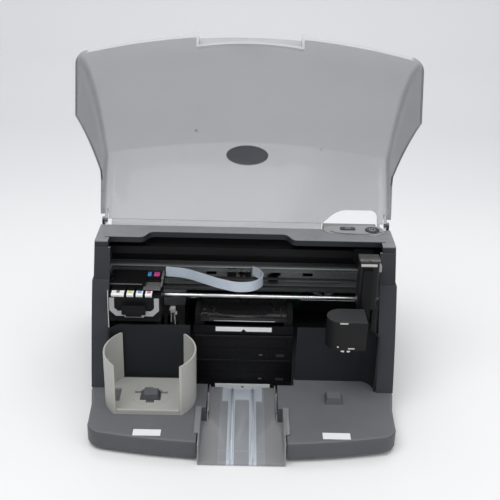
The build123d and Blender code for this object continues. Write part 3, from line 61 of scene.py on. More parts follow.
# ------------------------------------------------------------------ shader graph
class Val:
    """An output socket with arithmetic, so that shader maths reads as maths."""

    def __init__(self, graph, socket):
        self.graph = graph
        self.socket = socket

    def _math(self, op, *others):
        node = self.graph.tree.nodes.new("ShaderNodeMath")
        node.operation = op
        for i, value in enumerate((self,) + others):
            self.graph.feed(node.inputs[i], value)
        return Val(self.graph, node.outputs[0])

    def __add__(self, other):
        return self._math("ADD", other)

    def __sub__(self, other):
        return self._math("SUBTRACT", other)

    def __mul__(self, other):
        return self._math("MULTIPLY", other)

    def __rsub__(self, other):
        return (self * -1.0) + other

    def __pow__(self, other):
        return self._math("POWER", other)

    def fract(self):
        return self._math("FRACT")

    def abs(self):
        return self._math("ABSOLUTE")

    def clamp(self, low=0.0, high=1.0):
        return self._math("MAXIMUM", low)._math("MINIMUM", high)

    def max(self, other):
        return self._math("MAXIMUM", other)

    def band(self, middle, half, soft):
        """1 within half of middle, fading out over soft."""
        return 1 - (self - middle).abs().ramp(half, half + soft)

    def ramp(self, low, high):
        """0 below low, 1 above high, smooth between."""
        out = self.graph.node(
            "ShaderNodeMapRange", {"Value": self, "From Min": low, "From Max": high},
            interpolation_type="SMOOTHSTEP",
        )
        return Val(self.graph, out.outputs[0])


class Graph:
    """One node-based material around a Principled shader."""

    def __init__(self, name):
        self.mat = bpy.data.materials.new(name)
        self.mat.use_nodes = True
        self.tree = self.mat.node_tree
        self.tree.nodes.clear()
        self.out = self.tree.nodes.new("ShaderNodeOutputMaterial")
        self.shader = self.tree.nodes.new("ShaderNodeBsdfPrincipled")
        self.tree.links.new(self.shader.outputs[0], self.out.inputs[0])
        self.coord = self.tree.nodes.new("ShaderNodeTexCoord").outputs["Object"]

    def feed(self, socket, value):
        if isinstance(value, Val):
            self.tree.links.new(value.socket, socket)
        elif isinstance(value, bpy.types.NodeSocket):
            self.tree.links.new(value, socket)
        elif isinstance(value, tuple) and socket.type == "RGBA":
            socket.default_value = (*value, 1.0)
        else:
            socket.default_value = value

    def node(self, kind, inputs=None, **props):
        node = self.tree.nodes.new(kind)
        for key, value in props.items():
            setattr(node, key, value)
        for key, value in (inputs or {}).items():
            self.feed(node.inputs[key], value)
        return node

    def set(self, **values):
        for key, value in values.items():
            self.feed(self.shader.inputs[key.replace("_", " ")], value)

    def axes(self):
        parts = self.node("ShaderNodeSeparateXYZ", {"Vector": self.coord})
        return [Val(self, parts.outputs[i]) for i in range(3)]

    def facing(self, direction, low=0.6, high=0.9):
        """1 where the surface faces that way on the piece itself, whatever its pose."""
        normal = self.node("ShaderNodeTexCoord").outputs["Normal"]
        dot = self.node(
            "ShaderNodeVectorMath", {0: normal, 1: Vector(direction).normalized()},
            operation="DOT_PRODUCT",
        )
        return Val(self, dot.outputs["Value"]).ramp(low, high)

    def stretch(self, sx, sy, sz):
        out = self.node(
            "ShaderNodeMapping", {"Vector": self.coord, "Scale": (sx, sy, sz)}
        )
        return out.outputs[0]

    def noise(self, scale, detail=3.0, rough=0.55, coord=None):
        out = self.node(
            "ShaderNodeTexNoise",
            {
                "Vector": coord or self.coord, "Scale": scale, "Detail": detail,
                "Roughness": rough,
            },
        )
        return Val(self, out.outputs[0])

    def cells(self, scale, coord):
        out = self.node("ShaderNodeTexVoronoi", {"Vector": coord, "Scale": scale})
        return Val(self, out.outputs["Distance"])

    def mix(self, fac, a, b):
        out = self.node("ShaderNodeMix", {"Factor": fac}, data_type="RGBA")
        self.feed(out.inputs[6], a)
        self.feed(out.inputs[7], b)
        return out.outputs[2]

    def bump(self, height, distance, strength=1.0):
        out = self.node(
            "ShaderNodeBump", {"Height": height, "Distance": distance, "Strength": strength}
        )
        self.set(Normal=out.outputs[0])


def shade(colour, factor):
    return tuple(min(1.0, c * factor) for c in colour)


# pale grey mixed onto faces turned up: a dusty film and painted top light together
DUST_AND_TOP_LIGHT_GREY = (0.56, 0.57, 0.59)
GRAIN_SCALE = 1400.0
DRAWN_STREAKS = (1.0, 30.0, 30.0)


def moulded(name, colour, rough=0.5, depth=0.00012, mottle=0.05, top_light_and_dust=0.0, sheen=0.3):
    """Moulded plastic: fine grain, faint mottling, and faces turned up mixed toward pale grey,
    partly as a dusty film and partly as painted top light.
    """
    g = Graph(name)
    cloud = g.noise(9.0, 4.0)
    fine = g.noise(GRAIN_SCALE, 2.0, 0.6)
    film = g.noise(34.0, 5.0, 0.6)
    dark, light = shade(colour, 1 - mottle), shade(colour, 1 + mottle)
    base = g.mix(cloud.ramp(0.3, 0.7), dark, light)
    if top_light_and_dust:
        # painted top light with a dusty film: the more a face points up, the paler it is
        # painted
        fac = (g.facing((0, 0, 1), 0.35, 0.95) * (film * 0.5 + 0.75) * top_light_and_dust).clamp()
        base = g.mix(fac, base, DUST_AND_TOP_LIGHT_GREY)
    uneven = (fine * 0.18 + cloud * 0.12 + (rough - 0.15)).clamp(0.05, 1)
    g.set(Base_Color=base, Roughness=uneven, Specular_IOR_Level=sheen)
    g.bump(fine * 0.8 + film * 0.2, depth, 0.5)
    return g.mat


def glossy(name, colour, rough=0.16, coat=0.3):
    """Polished plastic with hairline scuffs and finger marks."""
    g = Graph(name)
    smear = g.noise(22.0, 4.0, 0.6)
    line = g.noise(160.0, 3.0, 0.6, g.stretch(1.0, 9.0, 3.0))
    base = g.mix((line.ramp(0.6, 0.8) * 0.25).clamp(), colour, shade(colour, 2.2))
    uneven = (smear.ramp(0.4, 0.75) * 0.22 + rough).clamp(0.04, 1)
    g.set(Base_Color=base, Roughness=uneven)
    g.set(Coat_Weight=coat, Coat_Roughness=0.08, Specular_IOR_Level=0.2)
    g.bump(line, 0.00004, 0.35)
    return g.mat


def metal(name, colour, rough):
    """Drawn or ground metal with streaks along X and slight tarnish."""
    g = Graph(name)
    streak = g.noise(60.0, 4.0, 0.65, g.stretch(*DRAWN_STREAKS))
    stain = g.noise(14.0, 4.0, 0.6)
    base = g.mix(stain.ramp(0.35, 0.75) * 0.5, colour, shade(colour, 0.72))
    uneven = (streak * 0.25 + stain * 0.12 + (rough - 0.12)).clamp(0.06, 1)
    g.set(Base_Color=base, Metallic=1.0, Roughness=uneven)
    g.bump(streak, 0.00005, 0.5)
    return g.mat


def smoked(g, colour, alpha, haze):
    """Smoked clear plastic: see-through, cloudy in places, with fine random scratches."""
    cloud = g.noise(5.0, 3.0, 0.55)
    hair_a = g.noise(55.0, 5.0, 0.7, g.stretch(1.0, 14.0, 14.0))
    hair_b = g.noise(60.0, 5.0, 0.7, g.stretch(13.0, 2.0, 1.5))
    scratch = (hair_a.ramp(0.69, 0.8) + hair_b.ramp(0.71, 0.82)).clamp()
    nick = g.noise(95.0, 2.0, 0.4, g.stretch(1.6, 1.0, 1.0)).ramp(0.77, 0.79)
    rim = g.node("ShaderNodeLayerWeight", {"Blend": 0.25})
    edge = Val(g, rim.outputs["Facing"]) ** 3.0
    base = g.mix(scratch * 0.5, colour, shade(colour, 2.4))
    base = g.mix(nick, base, shade(colour, 0.25))
    see = cloud * haze + scratch * 0.08 + nick * 0.25 + edge * 0.30 + (alpha - haze / 2)
    rough = (cloud * 0.12 + scratch * 0.2 + 0.06).clamp(0.03, 1)
    g.bump(scratch, 0.00002, 0.08)
    return base, see.clamp(0.05, 1), rough


def smoked_lid(name, colour, alpha):
    """The lid: a painted highlight on its cut edges in front, and painted shade along the free
    edges of its side walls.
    """
    g = Graph(name)
    base, see, rough = smoked(g, colour, alpha, 0.05)
    x, y, _ = g.axes()
    foot = (1 - y.ramp(-0.03, -0.02)) * (1 - x.abs().ramp(0.205, 0.212))
    # painted highlight on the foot edge in front
    bright = g.facing(LID_FRONT_WAY, 0.80, 0.95) * foot
    wall = x.abs().ramp(0.2195, 0.2205)
    outward = g.facing((1, 0, 0), 0.6, 0.9) + g.facing((-1, 0, 0), 0.6, 0.9)
    side = (outward * 0.22).clamp()
    # painted shade on the free edges of the side walls
    dark = (g.facing(LID_SIDE_WAY, 0.62, 0.80) * wall).clamp()
    base = g.mix(bright * 0.8, base, (0.80, 0.81, 0.83))
    base = g.mix(dark, base, (0.015, 0.015, 0.018))
    g.set(Base_Color=base, Roughness=rough)
    g.set(Alpha=(see + bright * 0.30 + dark * 0.6 + side).clamp())
    return g.mat


def smoked_chute(name, colour, alpha):
    """The slide: its two ribs and the band across its top are clearer and paler."""
    g = Graph(name)
    base, see, rough = smoked(g, colour, alpha, 0.06)
    x, y, _ = g.axes()
    across = x.abs()
    rib = across.band(SLIDE_RIB_X, 0.0048, 0.0008)
    core = across.band(SLIDE_RIB_X, 0.0006, 0.0008)
    middle = across.band(0.0, 0.032, 0.0015)
    top = across.band(0.0, 0.029, 0.0012) * y.ramp(-0.082, -0.078)
    bay = across.band(0.0, 0.0085, 0.003) * (1 - y.ramp(-0.079, -0.074))
    line = y.band(-0.190, 0.0007, 0.0009) * middle
    pale = (rib.max(top) * (1 - bay) * (1 - core * 0.6)).clamp()
    base = g.mix(middle * 0.35, base, (0.44, 0.48, 0.53))
    base = g.mix(pale * 0.85, base, (0.66, 0.72, 0.80))
    base = g.mix(line * 0.4, base, (0.50, 0.48, 0.52))
    g.set(Base_Color=base, Roughness=rough, Alpha=(see + pale * 0.1).clamp())
    return g.mat


def smoked_film(name, colour, alpha):
    """The thin clear strip of the position sensor."""
    g = Graph(name)
    base, see, rough = smoked(g, colour, alpha, 0.05)
    g.set(Base_Color=base, Roughness=rough, Alpha=see)
    return g.mat


def rail_steel(name):
    """Dark plated rail: brighter rolled edges, and matt black in the shade behind it."""
    g = Graph(name)
    _, y, z = g.axes()
    streak = g.noise(60.0, 4.0, 0.65, g.stretch(*DRAWN_STREAKS))
    stain = g.noise(14.0, 4.0, 0.6)
    shade_up = z.ramp(0.1795, 0.1812)
    lips = (z.band(0.179, 0.0012, 0.0005) + z.band(0.147, 0.0012, 0.0005)).clamp()
    lip = lips * (1 - y.ramp(0.036, 0.040))
    base = g.mix(stain.ramp(0.35, 0.75), (0.230, 0.242, 0.242), (0.175, 0.186, 0.190))
    base = g.mix(lip, base, (0.36, 0.38, 0.385))
    base = g.mix(shade_up, base, (0.008, 0.008, 0.009))
    g.set(Base_Color=base, Metallic=((1 - shade_up) * 0.4))
    g.set(Roughness=(streak * 0.2 + stain * 0.12 + 0.32), Specular_IOR_Level=0.12)
    g.bump(streak, 0.00005, 0.5)
    return g.mat


def printed_label(name, colour, middle, blob):
    """Cartridge label: white paper with a patch of its ink colour and no lettering."""
    g = Graph(name)
    x, y, z = g.axes()
    fibre = g.noise(900.0, 3.0, 0.6)
    patch = x.band(middle * MM, blob * MM, 0.0004) * y.ramp(-0.0435, -0.0425)
    rule = x.band(middle * MM, blob * MM, 0.0006)
    rule = rule * z.band(0.1672, 0.0009, 0.0006) * 0.3
    base = g.mix(fibre * 0.15, (0.86, 0.86, 0.84), (0.74, 0.74, 0.72))
    base = g.mix(patch * 0.85, base, colour)
    base = g.mix(rule, base, (0.25, 0.25, 0.27))
    g.set(Base_Color=base, Roughness=(fibre * 0.2 + 0.4))
    g.bump(fibre, 0.00004, 0.4)
    return g.mat


def worn_cap(name, colour):
    """Black plastic rubbed pale along its front edge."""
    g = Graph(name)
    _, y, _ = g.axes()
    rub = g.noise(420.0, 4.0, 0.7)
    front = 1 - y.ramp(-0.056, -0.044)
    worn = rub.ramp(0.42, 0.62) * (front * 0.8 + 0.12) * g.facing((0, 0, 1), 0.3, 0.8)
    base = g.mix(worn.clamp(), colour, (0.34, 0.33, 0.32))
    g.set(Base_Color=base, Roughness=(rub * 0.3 + 0.3))
    g.bump(rub, 0.00008, 0.5)
    return g.mat


def label(name, colour):
    """Self-adhesive paper: slightly fibrous, a little grubby at random."""
    g = Graph(name)
    fibre = g.noise(900.0, 3.0, 0.6)
    grub = g.noise(60.0, 4.0, 0.6)
    base = g.mix(grub.ramp(0.5, 0.85) * 0.35, colour, shade(colour, 0.7))
    g.set(Base_Color=base, Roughness=(fibre * 0.2 + 0.45))
    g.bump(fibre, 0.00004, 0.4)
    return g.mat


def ribbed_cable(name):
    """Flat cable: parallel cores under clear film, running along the ribbon."""
    g = Graph(name)
    _, _, z = g.axes()
    core = ((z * (1 / CORE_PITCH)).fract() - 0.5).abs() * 2.0
    stripe = core.ramp(0.25, 0.75)
    tint = g.noise(30.0, 3.0)
    base = g.mix(stripe, (0.36, 0.44, 0.53), (0.66, 0.72, 0.79))
    base = g.mix(tint * 0.3, base, (0.5, 0.55, 0.62))
    g.set(Base_Color=base, Roughness=(tint * 0.2 + 0.2))
    g.set(Coat_Weight=0.4, Coat_Roughness=0.15)
    g.bump(stripe, 0.0002, 0.6)
    return g.mat


def toothed(name):
    """Rubber belt with cross grooves, painted darker at the bottom of each groove as shade."""
    g = Graph(name)
    x, _, _ = g.axes()
    groove = (((x * (1 / BELT_PITCH)).fract() - 0.5).abs() * 2.0).ramp(0.3, 0.7)
    fine = g.noise(900.0, 3.0)
    # painted shade: the low part of each groove darker than the teeth
    base = g.mix(groove, (0.012, 0.012, 0.012), (0.03, 0.03, 0.03))
    g.set(Base_Color=base, Roughness=(fine * 0.2 + 0.55))
    g.bump(groove, 0.0004, 0.8)
    return g.mat


def circuit(name):
    """Solder mask with copper runs showing through."""
    g = Graph(name)
    run = g.cells(160.0, g.stretch(1.0, 1.0, 3.0)).ramp(0.25, 0.3)
    fine = g.noise(400.0, 3.0)
    base = g.mix(run, (0.01, 0.11, 0.05), (0.03, 0.22, 0.09))
    g.set(Base_Color=base, Roughness=(fine * 0.2 + 0.25))
    g.bump(run, 0.0001, 0.5)
    return g.mat


# the open lid's foot edge faces this way, and the free edges of its side walls the other
LID_FRONT_WAY = (0.0, -0.948, 0.319)
LID_SIDE_WAY = (0.0, -0.90, -0.42)

# metres: the slide's ribs from its middle, and the pitch of the cable's cores and belt's teeth
SLIDE_RIB_X = 0.0155
CORE_PITCH = 0.00125
BELT_PITCH = 0.003

# millimetres: each cartridge's middle along X, half of its label, and half of its ink patch
CARTRIDGES = {
    "black": (-184.5, 9.2, 2.2), "yellow": (-166.5, 4.9, 2.6), "cyan": (-153.0, 4.9, 2.6),
    "magenta": (-139.5, 4.9, 2.6),
}
CARTRIDGE_TOP = 170.15
CARTRIDGE_FRONT = -46.65

# millimetres: where the slide's upper walls start, and the height and fall of their trim
SLIDE_CUT_Y = -112
SLIDE_CUT_POINT = (0, -54, 17.4)
SLIDE_CUT_WAY = (0, -0.0645, 1)

# millimetres: the backdrop's half width and its line in Y and Z, and the camera's place
HALF_BACKDROP = 3200
BACKDROP_ROWS = (
    (-2600, 0), (900, 0), (1300, 30), (1600, 160), (1800, 420), (1900, 800), (1900, 2600),
)
CAMERA_PLACE = (-5.6, -1172.1, 755.4)
CAMERA_YAW = math.radians(0.6)
CAMERA_ROLL = math.radians(1.5)

MATS = {}

NODE_MATS = {
    "feet": "rubber", "base_pan": "pan", "base_tray": "base", "side_shell_left": "pillar",
    "side_shell_right": "pillar", "top_cover": "cover", "rear_cover": "cover",
    "bay_liner_left": "liner", "bay_liner_right": "liner", "control_panel": "panel",
    "menu_button": "keys", "power_button": "keys", "lid": "lid", "lid_badge": "badge",
    "hinge_pins": "pin", "drive_cage": "cage", "marker_strips": "label", "lower_bar": "alloy",
    "lower_drive_case": "case", "upper_drive_case": "case", "lower_drive_bezel": "bezel",
    "upper_drive_bezel": "bezel", "lower_drive_tray": "bezel", "upper_drive_tray": "bezel",
    "lower_eject_button": "eject", "upper_eject_button": "eject", "output_chute": "chute",
    "input_bin": "bin", "bay_labels": "label", "rail_frame": "rail", "guide_rod": "steel",
    "encoder_strip": "film", "carriage_body": "black", "black_cartridge": "black",
    "yellow_cartridge": "black", "cyan_cartridge": "black", "magenta_cartridge": "black",
    "carriage_cover": "gloss", "carriage_latch": "grey", "ribbon_cable": "ribbon",
    "carriage_belt": "belt", "drive_pulley": "brass", "carriage_motor": "black",
    "service_station": "black", "tray_guides": "black", "print_tray": "gloss",
    "arm_rail": "black", "arm_carriage": "black", "arm_column": "satin", "column_cap": "cap",
    "lift_screw": "steel", "lift_slider": "black", "gripper_body": "satin",
    "gripper_finger_left": "steel", "gripper_finger_right": "steel", "main_board": "board",
    "power_supply": "case", "fan_frame": "black", "fan_rotor": "black", "cover_screws": "pin",
}


# ------------------------------------------------------------------ what a user may change
def paint(label, text, value):
    return FloatVectorProperty(
        name=label, description=text, default=value, size=3, min=0.0, max=1.0, subtype="COLOR"
    )


def power(label, text, value):
    return FloatProperty(name=label, description=text, default=value, min=0.0, unit="POWER")


class PrinterColours(bpy.types.PropertyGroup):
    base: paint("Base", "Plastic of the base", (0.084, 0.089, 0.096))
    pillar: paint("Pillars", "Plastic of the two side shells", (0.036, 0.039, 0.046))
    cover: paint("Bridge", "Plastic of the bridge and the rear cover", (0.024, 0.026, 0.031))
    liner: paint(
        "Bay liners", "Plastic of the curved walls behind the bays", (0.020, 0.021, 0.025)
    )
    panel: paint("Control panel", "Plastic under the keys", (0.36, 0.365, 0.36))
    lid: paint("Lid", "Tint of the smoked lid", (0.170, 0.176, 0.196))
    chute: paint("Slide", "Tint of the smoked slide", (0.30, 0.302, 0.308))
    bin: paint("Bin", "Plastic of the disc bin", (0.42, 0.42, 0.395))
    latch: paint("Carriage latch", "Plastic of the latch frame", (0.38, 0.385, 0.39))
    cyan_ink: paint("Cyan ink", "Patch on the cyan cartridge", (0.06, 0.30, 0.62))
    magenta_ink: paint("Magenta ink", "Patch on the magenta cartridge", (0.62, 0.07, 0.28))
    yellow_ink: paint("Yellow ink", "Patch on the yellow cartridge", (0.62, 0.66, 0.10))


class PrinterSizes(bpy.types.PropertyGroup):
    lid_haze: FloatProperty(
        name="Lid density", description="How much of the view the lid's wall hides",
        default=0.335, min=0.05, max=1.0, subtype="FACTOR",
    )
    chute_haze: FloatProperty(
        name="Slide density", description="How much of the view the slide hides", default=0.66,
        min=0.05, max=1.0, subtype="FACTOR",
    )
    paper: FloatProperty(
        name="Label thickness", description="Thickness of the paper labels", default=0.0003,
        min=0.0001, max=0.001, unit="LENGTH",
    )
    edge: FloatProperty(
        name="Small edge", description="Rounding of the small pieces", default=0.0003,
        min=0.0001, max=0.001, unit="LENGTH",
    )
    rod: FloatProperty(
        name="Lever rod", description="Radius of the small lever's rods", default=0.0009,
        min=0.0004, max=0.002, unit="LENGTH",
    )


class PrinterStudio(bpy.types.PropertyGroup):
    key: power("Key light", "Main softbox", 26.0)
    fill: power("Fill light", "Side softbox", 9.0)
    back: power("Back light", "Softbox behind", 15.0)
    sky: FloatProperty(
        name="Room", description="Brightness of the room", default=0.56, min=0.0, max=2.0
    )
    lens: FloatProperty(
        name="Lens", description="Focal length", default=62.8, min=20.0, unit="CAMERA"
    )
    pitch: FloatProperty(
        name="Look down", description="Angle of the camera below the horizon",
        default=math.radians(24.4), subtype="ANGLE",
    )


# ------------------------------------------------------------------ mesh helpers
SHARP_ANGLE = math.radians(35.0)


def new_verts(geom):
    return [g for g in geom if isinstance(g, bmesh.types.BMVert)]


def finish_mesh(bm, name, mat, body):
    """Turn a bmesh in millimetres into a piece that rides on a body."""
    bmesh.ops.scale(bm, vec=(MM, MM, MM), verts=bm.verts)
    bmesh.ops.recalc_face_normals(bm, faces=bm.faces)
    mesh = bpy.data.meshes.new(name)
    bm.to_mesh(mesh)
    bm.free()
    mesh.materials.append(MATS[mat])
    mesh.shade_smooth()
    mesh.set_sharp_from_angle(angle=SHARP_ANGLE)
    obj = bpy.data.objects.new(name, mesh)
    bpy.context.scene.collection.objects.link(obj)
    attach(obj, body)
    return obj


def round_edges(bm, edges, radius, segments=2):
    return bmesh.ops.bevel(
        bm, geom=list(edges), offset=radius, segments=segments, profile=0.5, affect="EDGES",
        material=-1,
    )


def add_box(bm, x0, x1, y0, y1, z0, z1, bevel=0.3, segments=2):
    """A box with rounded edges."""
    verts = bmesh.ops.create_cube(bm, size=1.0)["verts"]
    bmesh.ops.scale(bm, vec=(x1 - x0, y1 - y0, z1 - z0), verts=verts)
    bmesh.ops.translate(bm, vec=((x0 + x1) / 2, (y0 + y1) / 2, (z0 + z1) / 2), verts=verts)
    round_edges(bm, {e for v in verts for e in v.link_edges}, bevel, segments)


def add_rod(bm, start, end, radius, sides=20, bevel=0.0):
    """A capped rod between two points."""
    a, b = Vector(start), Vector(end)
    verts = bmesh.ops.create_cone(
        bm, cap_ends=True, segments=sides, radius1=radius, radius2=radius, depth=(b - a).length
    )["verts"]
    turn = (b - a).to_track_quat("Z", "Y").to_matrix().to_4x4()
    bmesh.ops.transform(bm, matrix=Matrix.Translation((a + b) / 2) @ turn, verts=verts)
    if bevel:
        edges = {e for v in verts for e in v.link_edges}
        rims = {e for e in edges if any(len(f.verts) > 4 for f in e.link_faces)}
        round_edges(bm, rims, bevel)


def add_strip(bm, points, sweep, thick):
    """A bent strip: a line of points drawn out along sweep and given a thickness."""
    verts = [bm.verts.new(p) for p in points]
    edges = [bm.edges.new(pair) for pair in zip(verts, verts[1:])]
    drawn = bmesh.ops.extrude_edge_only(bm, edges=edges)["geom"]
    bmesh.ops.translate(bm, vec=sweep, verts=new_verts(drawn))
    faces = [g for g in drawn if isinstance(g, bmesh.types.BMFace)]
    bmesh.ops.recalc_face_normals(bm, faces=faces)
    bmesh.ops.solidify(bm, geom=faces, thickness=thick)


def add_ring(bm, centre, radius, wire, start=0.0, turn=2 * math.pi, steps=36):
    """A ring, or part of one, of round wire about an upright axis."""
    verts = bmesh.ops.create_circle(bm, cap_ends=False, segments=10, radius=wire)["verts"]
    place = (
        Matrix.Translation(centre) @ Matrix.Rotation(start, 4, "Z")
        @ Matrix.Translation((radius, 0, 0)) @ Matrix.Rotation(math.pi / 2, 4, "X")
    )
    bmesh.ops.transform(bm, matrix=place, verts=verts)
    edges = list({e for v in verts for e in v.link_edges})
    full = turn > 6.28
    bmesh.ops.spin(
        bm, geom=verts + edges, cent=centre, axis=(0, 0, 1), angle=turn, steps=steps,
        use_merge=full, use_duplicate=False,
    )
    if not full:
        bmesh.ops.holes_fill(bm, edges=[e for e in bm.edges if e.is_boundary], sides=0)


# ------------------------------------------------------------------ operators
class PRINTER_OT_finishes(bpy.types.Operator):
    """Make the plastics, metals, inks and cables, and give every solid its own"""
    bl_idname = "printer.finishes"
    bl_label = "Finishes"

    def execute(self, context):
        tone = context.scene.printer_colours
        size = context.scene.printer_sizes
        MATS["base"] = moulded("base_moulding", tuple(tone.base), 0.50, top_light_and_dust=0.10)
        MATS["pillar"] = moulded(
            "pillar_moulding", tuple(tone.pillar), 0.5, top_light_and_dust=0.06, sheen=0.22
        )
        # the bridge's tops painted much paler than its dark sides: painted top light as well as
        # a dusty film
        MATS["cover"] = moulded(
            "cover_moulding", tuple(tone.cover), 0.46, top_light_and_dust=0.43, sheen=0.2
        )
        MATS["liner"] = moulded("liner_moulding", tuple(tone.liner), 0.6, sheen=0.15)
        MATS["panel"] = moulded("panel_moulding", tuple(tone.panel), 0.4)
        MATS["keys"] = glossy("key_moulding", (0.042, 0.044, 0.060), 0.3, 0.2)
        MATS["lid"] = smoked_lid("lid_smoked", tuple(tone.lid), size.lid_haze)
        MATS["chute"] = smoked_chute("slide_smoked", tuple(tone.chute), size.chute_haze)
        MATS["badge"] = moulded("badge_bare", (0.012, 0.020, 0.036), 0.42, sheen=0.1)
        MATS["steel"] = metal("ground_steel", (0.66, 0.66, 0.67), 0.22)
        MATS["pin"] = metal("plated_pin", (0.16, 0.165, 0.17), 0.35)
        MATS["cage"] = moulded("cage_paint", (0.008, 0.008, 0.010), 0.35, sheen=0.12)
        MATS["alloy"] = metal("satin_alloy", (0.24, 0.30, 0.34), 0.40)
        MATS["case"] = metal("folded_steel", (0.50, 0.50, 0.51), 0.34)
        MATS["bezel"] = moulded(
            "bezel_moulding", (0.006, 0.006, 0.007), 0.28, depth=0.00004, sheen=0.18
        )
        MATS["eject"] = moulded("eject_moulding", (0.030, 0.030, 0.033), 0.35)
        MATS["black"] = moulded("black_moulding", (0.008, 0.008, 0.009), 0.42, sheen=0.12)
        MATS["satin"] = moulded(
            "satin_black", (0.012, 0.0122, 0.013), 0.34, top_light_and_dust=0.06, sheen=0.16
        )
        MATS["gloss"] = glossy("black_gloss", (0.010, 0.0095, 0.0105), 0.14, 0.4)
        MATS["cap"] = worn_cap("worn_cap", (0.018, 0.018, 0.019))
        MATS["bin"] = moulded("bin_moulding", tuple(tone.bin), 0.5, mottle=0.03)
        MATS["label"] = label("label_stock", (0.80, 0.82, 0.82))
        MATS["film"] = smoked_film("sensor_film", (0.10, 0.105, 0.11), 0.45)
        MATS["grey"] = moulded("latch_moulding", tuple(tone.latch), 0.45)
        MATS["pale"] = moulded("pale_moulding", (0.48, 0.48, 0.46), 0.45)
        MATS["dull"] = moulded("dull_moulding", (0.14, 0.14, 0.142), 0.45)
        MATS["plate"] = glossy("plate_film", (0.125, 0.125, 0.125), 0.25, 0.3)
        MATS["groove"] = moulded("groove_shadow", (0.018, 0.018, 0.016), 0.6)
        MATS["print"] = moulded("key_print", (0.48, 0.48, 0.50), 0.5)
        inks = {
            "yellow": tuple(tone.yellow_ink), "cyan": tuple(tone.cyan_ink),
            "magenta": tuple(tone.magenta_ink), "black": (0.02, 0.02, 0.02),
        }
        for ink, colour in inks.items():
            middle, _, blob = CARTRIDGES[ink]
            MATS[f"{ink}_paper"] = printed_label(f"{ink}_paper", colour, middle, blob)
        MATS["cyan"] = glossy("cyan_tab", tuple(tone.cyan_ink))
        MATS["magenta"] = glossy("magenta_tab", tuple(tone.magenta_ink))
        MATS["ribbon"] = ribbed_cable("flat_cable")
        MATS["belt"] = toothed("belt_rubber")
        MATS["rubber"] = moulded("foot_rubber", (0.02, 0.02, 0.02), 0.8)
        MATS["pan"] = moulded("pan_paint", (0.10, 0.105, 0.11), 0.45)
        MATS["brass"] = metal("turned_brass", (0.62, 0.45, 0.18), 0.28)
        MATS["board"] = circuit("circuit_board")
        MATS["rail"] = rail_steel("rail_steel")
        for name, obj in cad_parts.items():
            mat = MATS[NODE_MATS[name]]
            if not obj.material_slots:
                obj.data.materials.append(mat)
            for slot in obj.material_slots:
                slot.material = mat
        return {"FINISHED"}


class PRINTER_OT_cartridge_labels(bpy.types.Operator):
    """Wrap a paper label over the front top edge of each ink cartridge"""
    bl_idname = "printer.cartridge_labels"
    bl_label = "Cartridge labels"

    def execute(self, context):
        paper = context.scene.printer_sizes.paper / MM
        over, front = CARTRIDGE_TOP + paper, CARTRIDGE_FRONT - paper
        line = [(-35.5, over), (-45.6, over), (front, 169.2), (front, 163.6)]
        for ink, (middle, half, _) in CARTRIDGES.items():
            bm = bmesh.new()
            add_strip(bm, [(middle - half, y, z) for y, z in line], (2 * half, 0, 0), paper)
            finish_mesh(bm, f"{ink}_label", f"{ink}_paper", "carriage")
        return {"FINISHED"}


class PRINTER_OT_carriage_trim(bpy.types.Operator):
    """Add the carriage's coloured tabs, clear plate, lever, edge strip and latch pad"""
    bl_idname = "printer.carriage_trim"
    bl_label = "Carriage trim"

    def execute(self, context):
        edge = context.scene.printer_sizes.edge / MM
        for ink, x in (("cyan", -145.0), ("magenta", -132.5)):
            bm = bmesh.new()
            add_box(bm, x - 4.4, x + 4.4, 5.5, 18.5, 174.3, 175.3, edge)
            finish_mesh(bm, f"{ink}_tab", ink, "carriage")
        bm = bmesh.new()
        add_box(bm, -149.0, -123.5, -33.5, -8.6, 170.2, 171.6, edge)
        add_box(bm, -146.0, -127.0, -30.0, -28.8, 171.5, 172.1, edge / 2)
        finish_mesh(bm, "sensor_plate", "plate", "carriage")
        bm = bmesh.new()
        add_box(bm, -124.6, -121.2, -6.0, 19.0, 174.35, 176.4, edge)
        add_box(bm, -124.0, -121.6, -24.0, -5.0, 171.0, 174.6, edge)
        add_rod(bm, (-122.9, 16.0, 176.2), (-122.9, 16.0, 178.0), 1.5, bevel=edge)
        finish_mesh(bm, "release_lever", "dull", "carriage")
        bm = bmesh.new()
        add_box(bm, -199.2, -151.0, -24.7, -24.05, 174.6, 176.2, edge / 2)
        finish_mesh(bm, "cover_edge", "dull", "carriage")
        bm = bmesh.new()
        add_box(bm, -178.0, -143.0, -58.6, -57.4, 142.5, 157.5, 1.0, 3)
        add_box(bm, -172.0, -149.0, -59.0, -57.5, 139.4, 150.0, 0.8, 3)
        finish_mesh(bm, "latch_pad", "black", "latch")
        return {"FINISHED"}


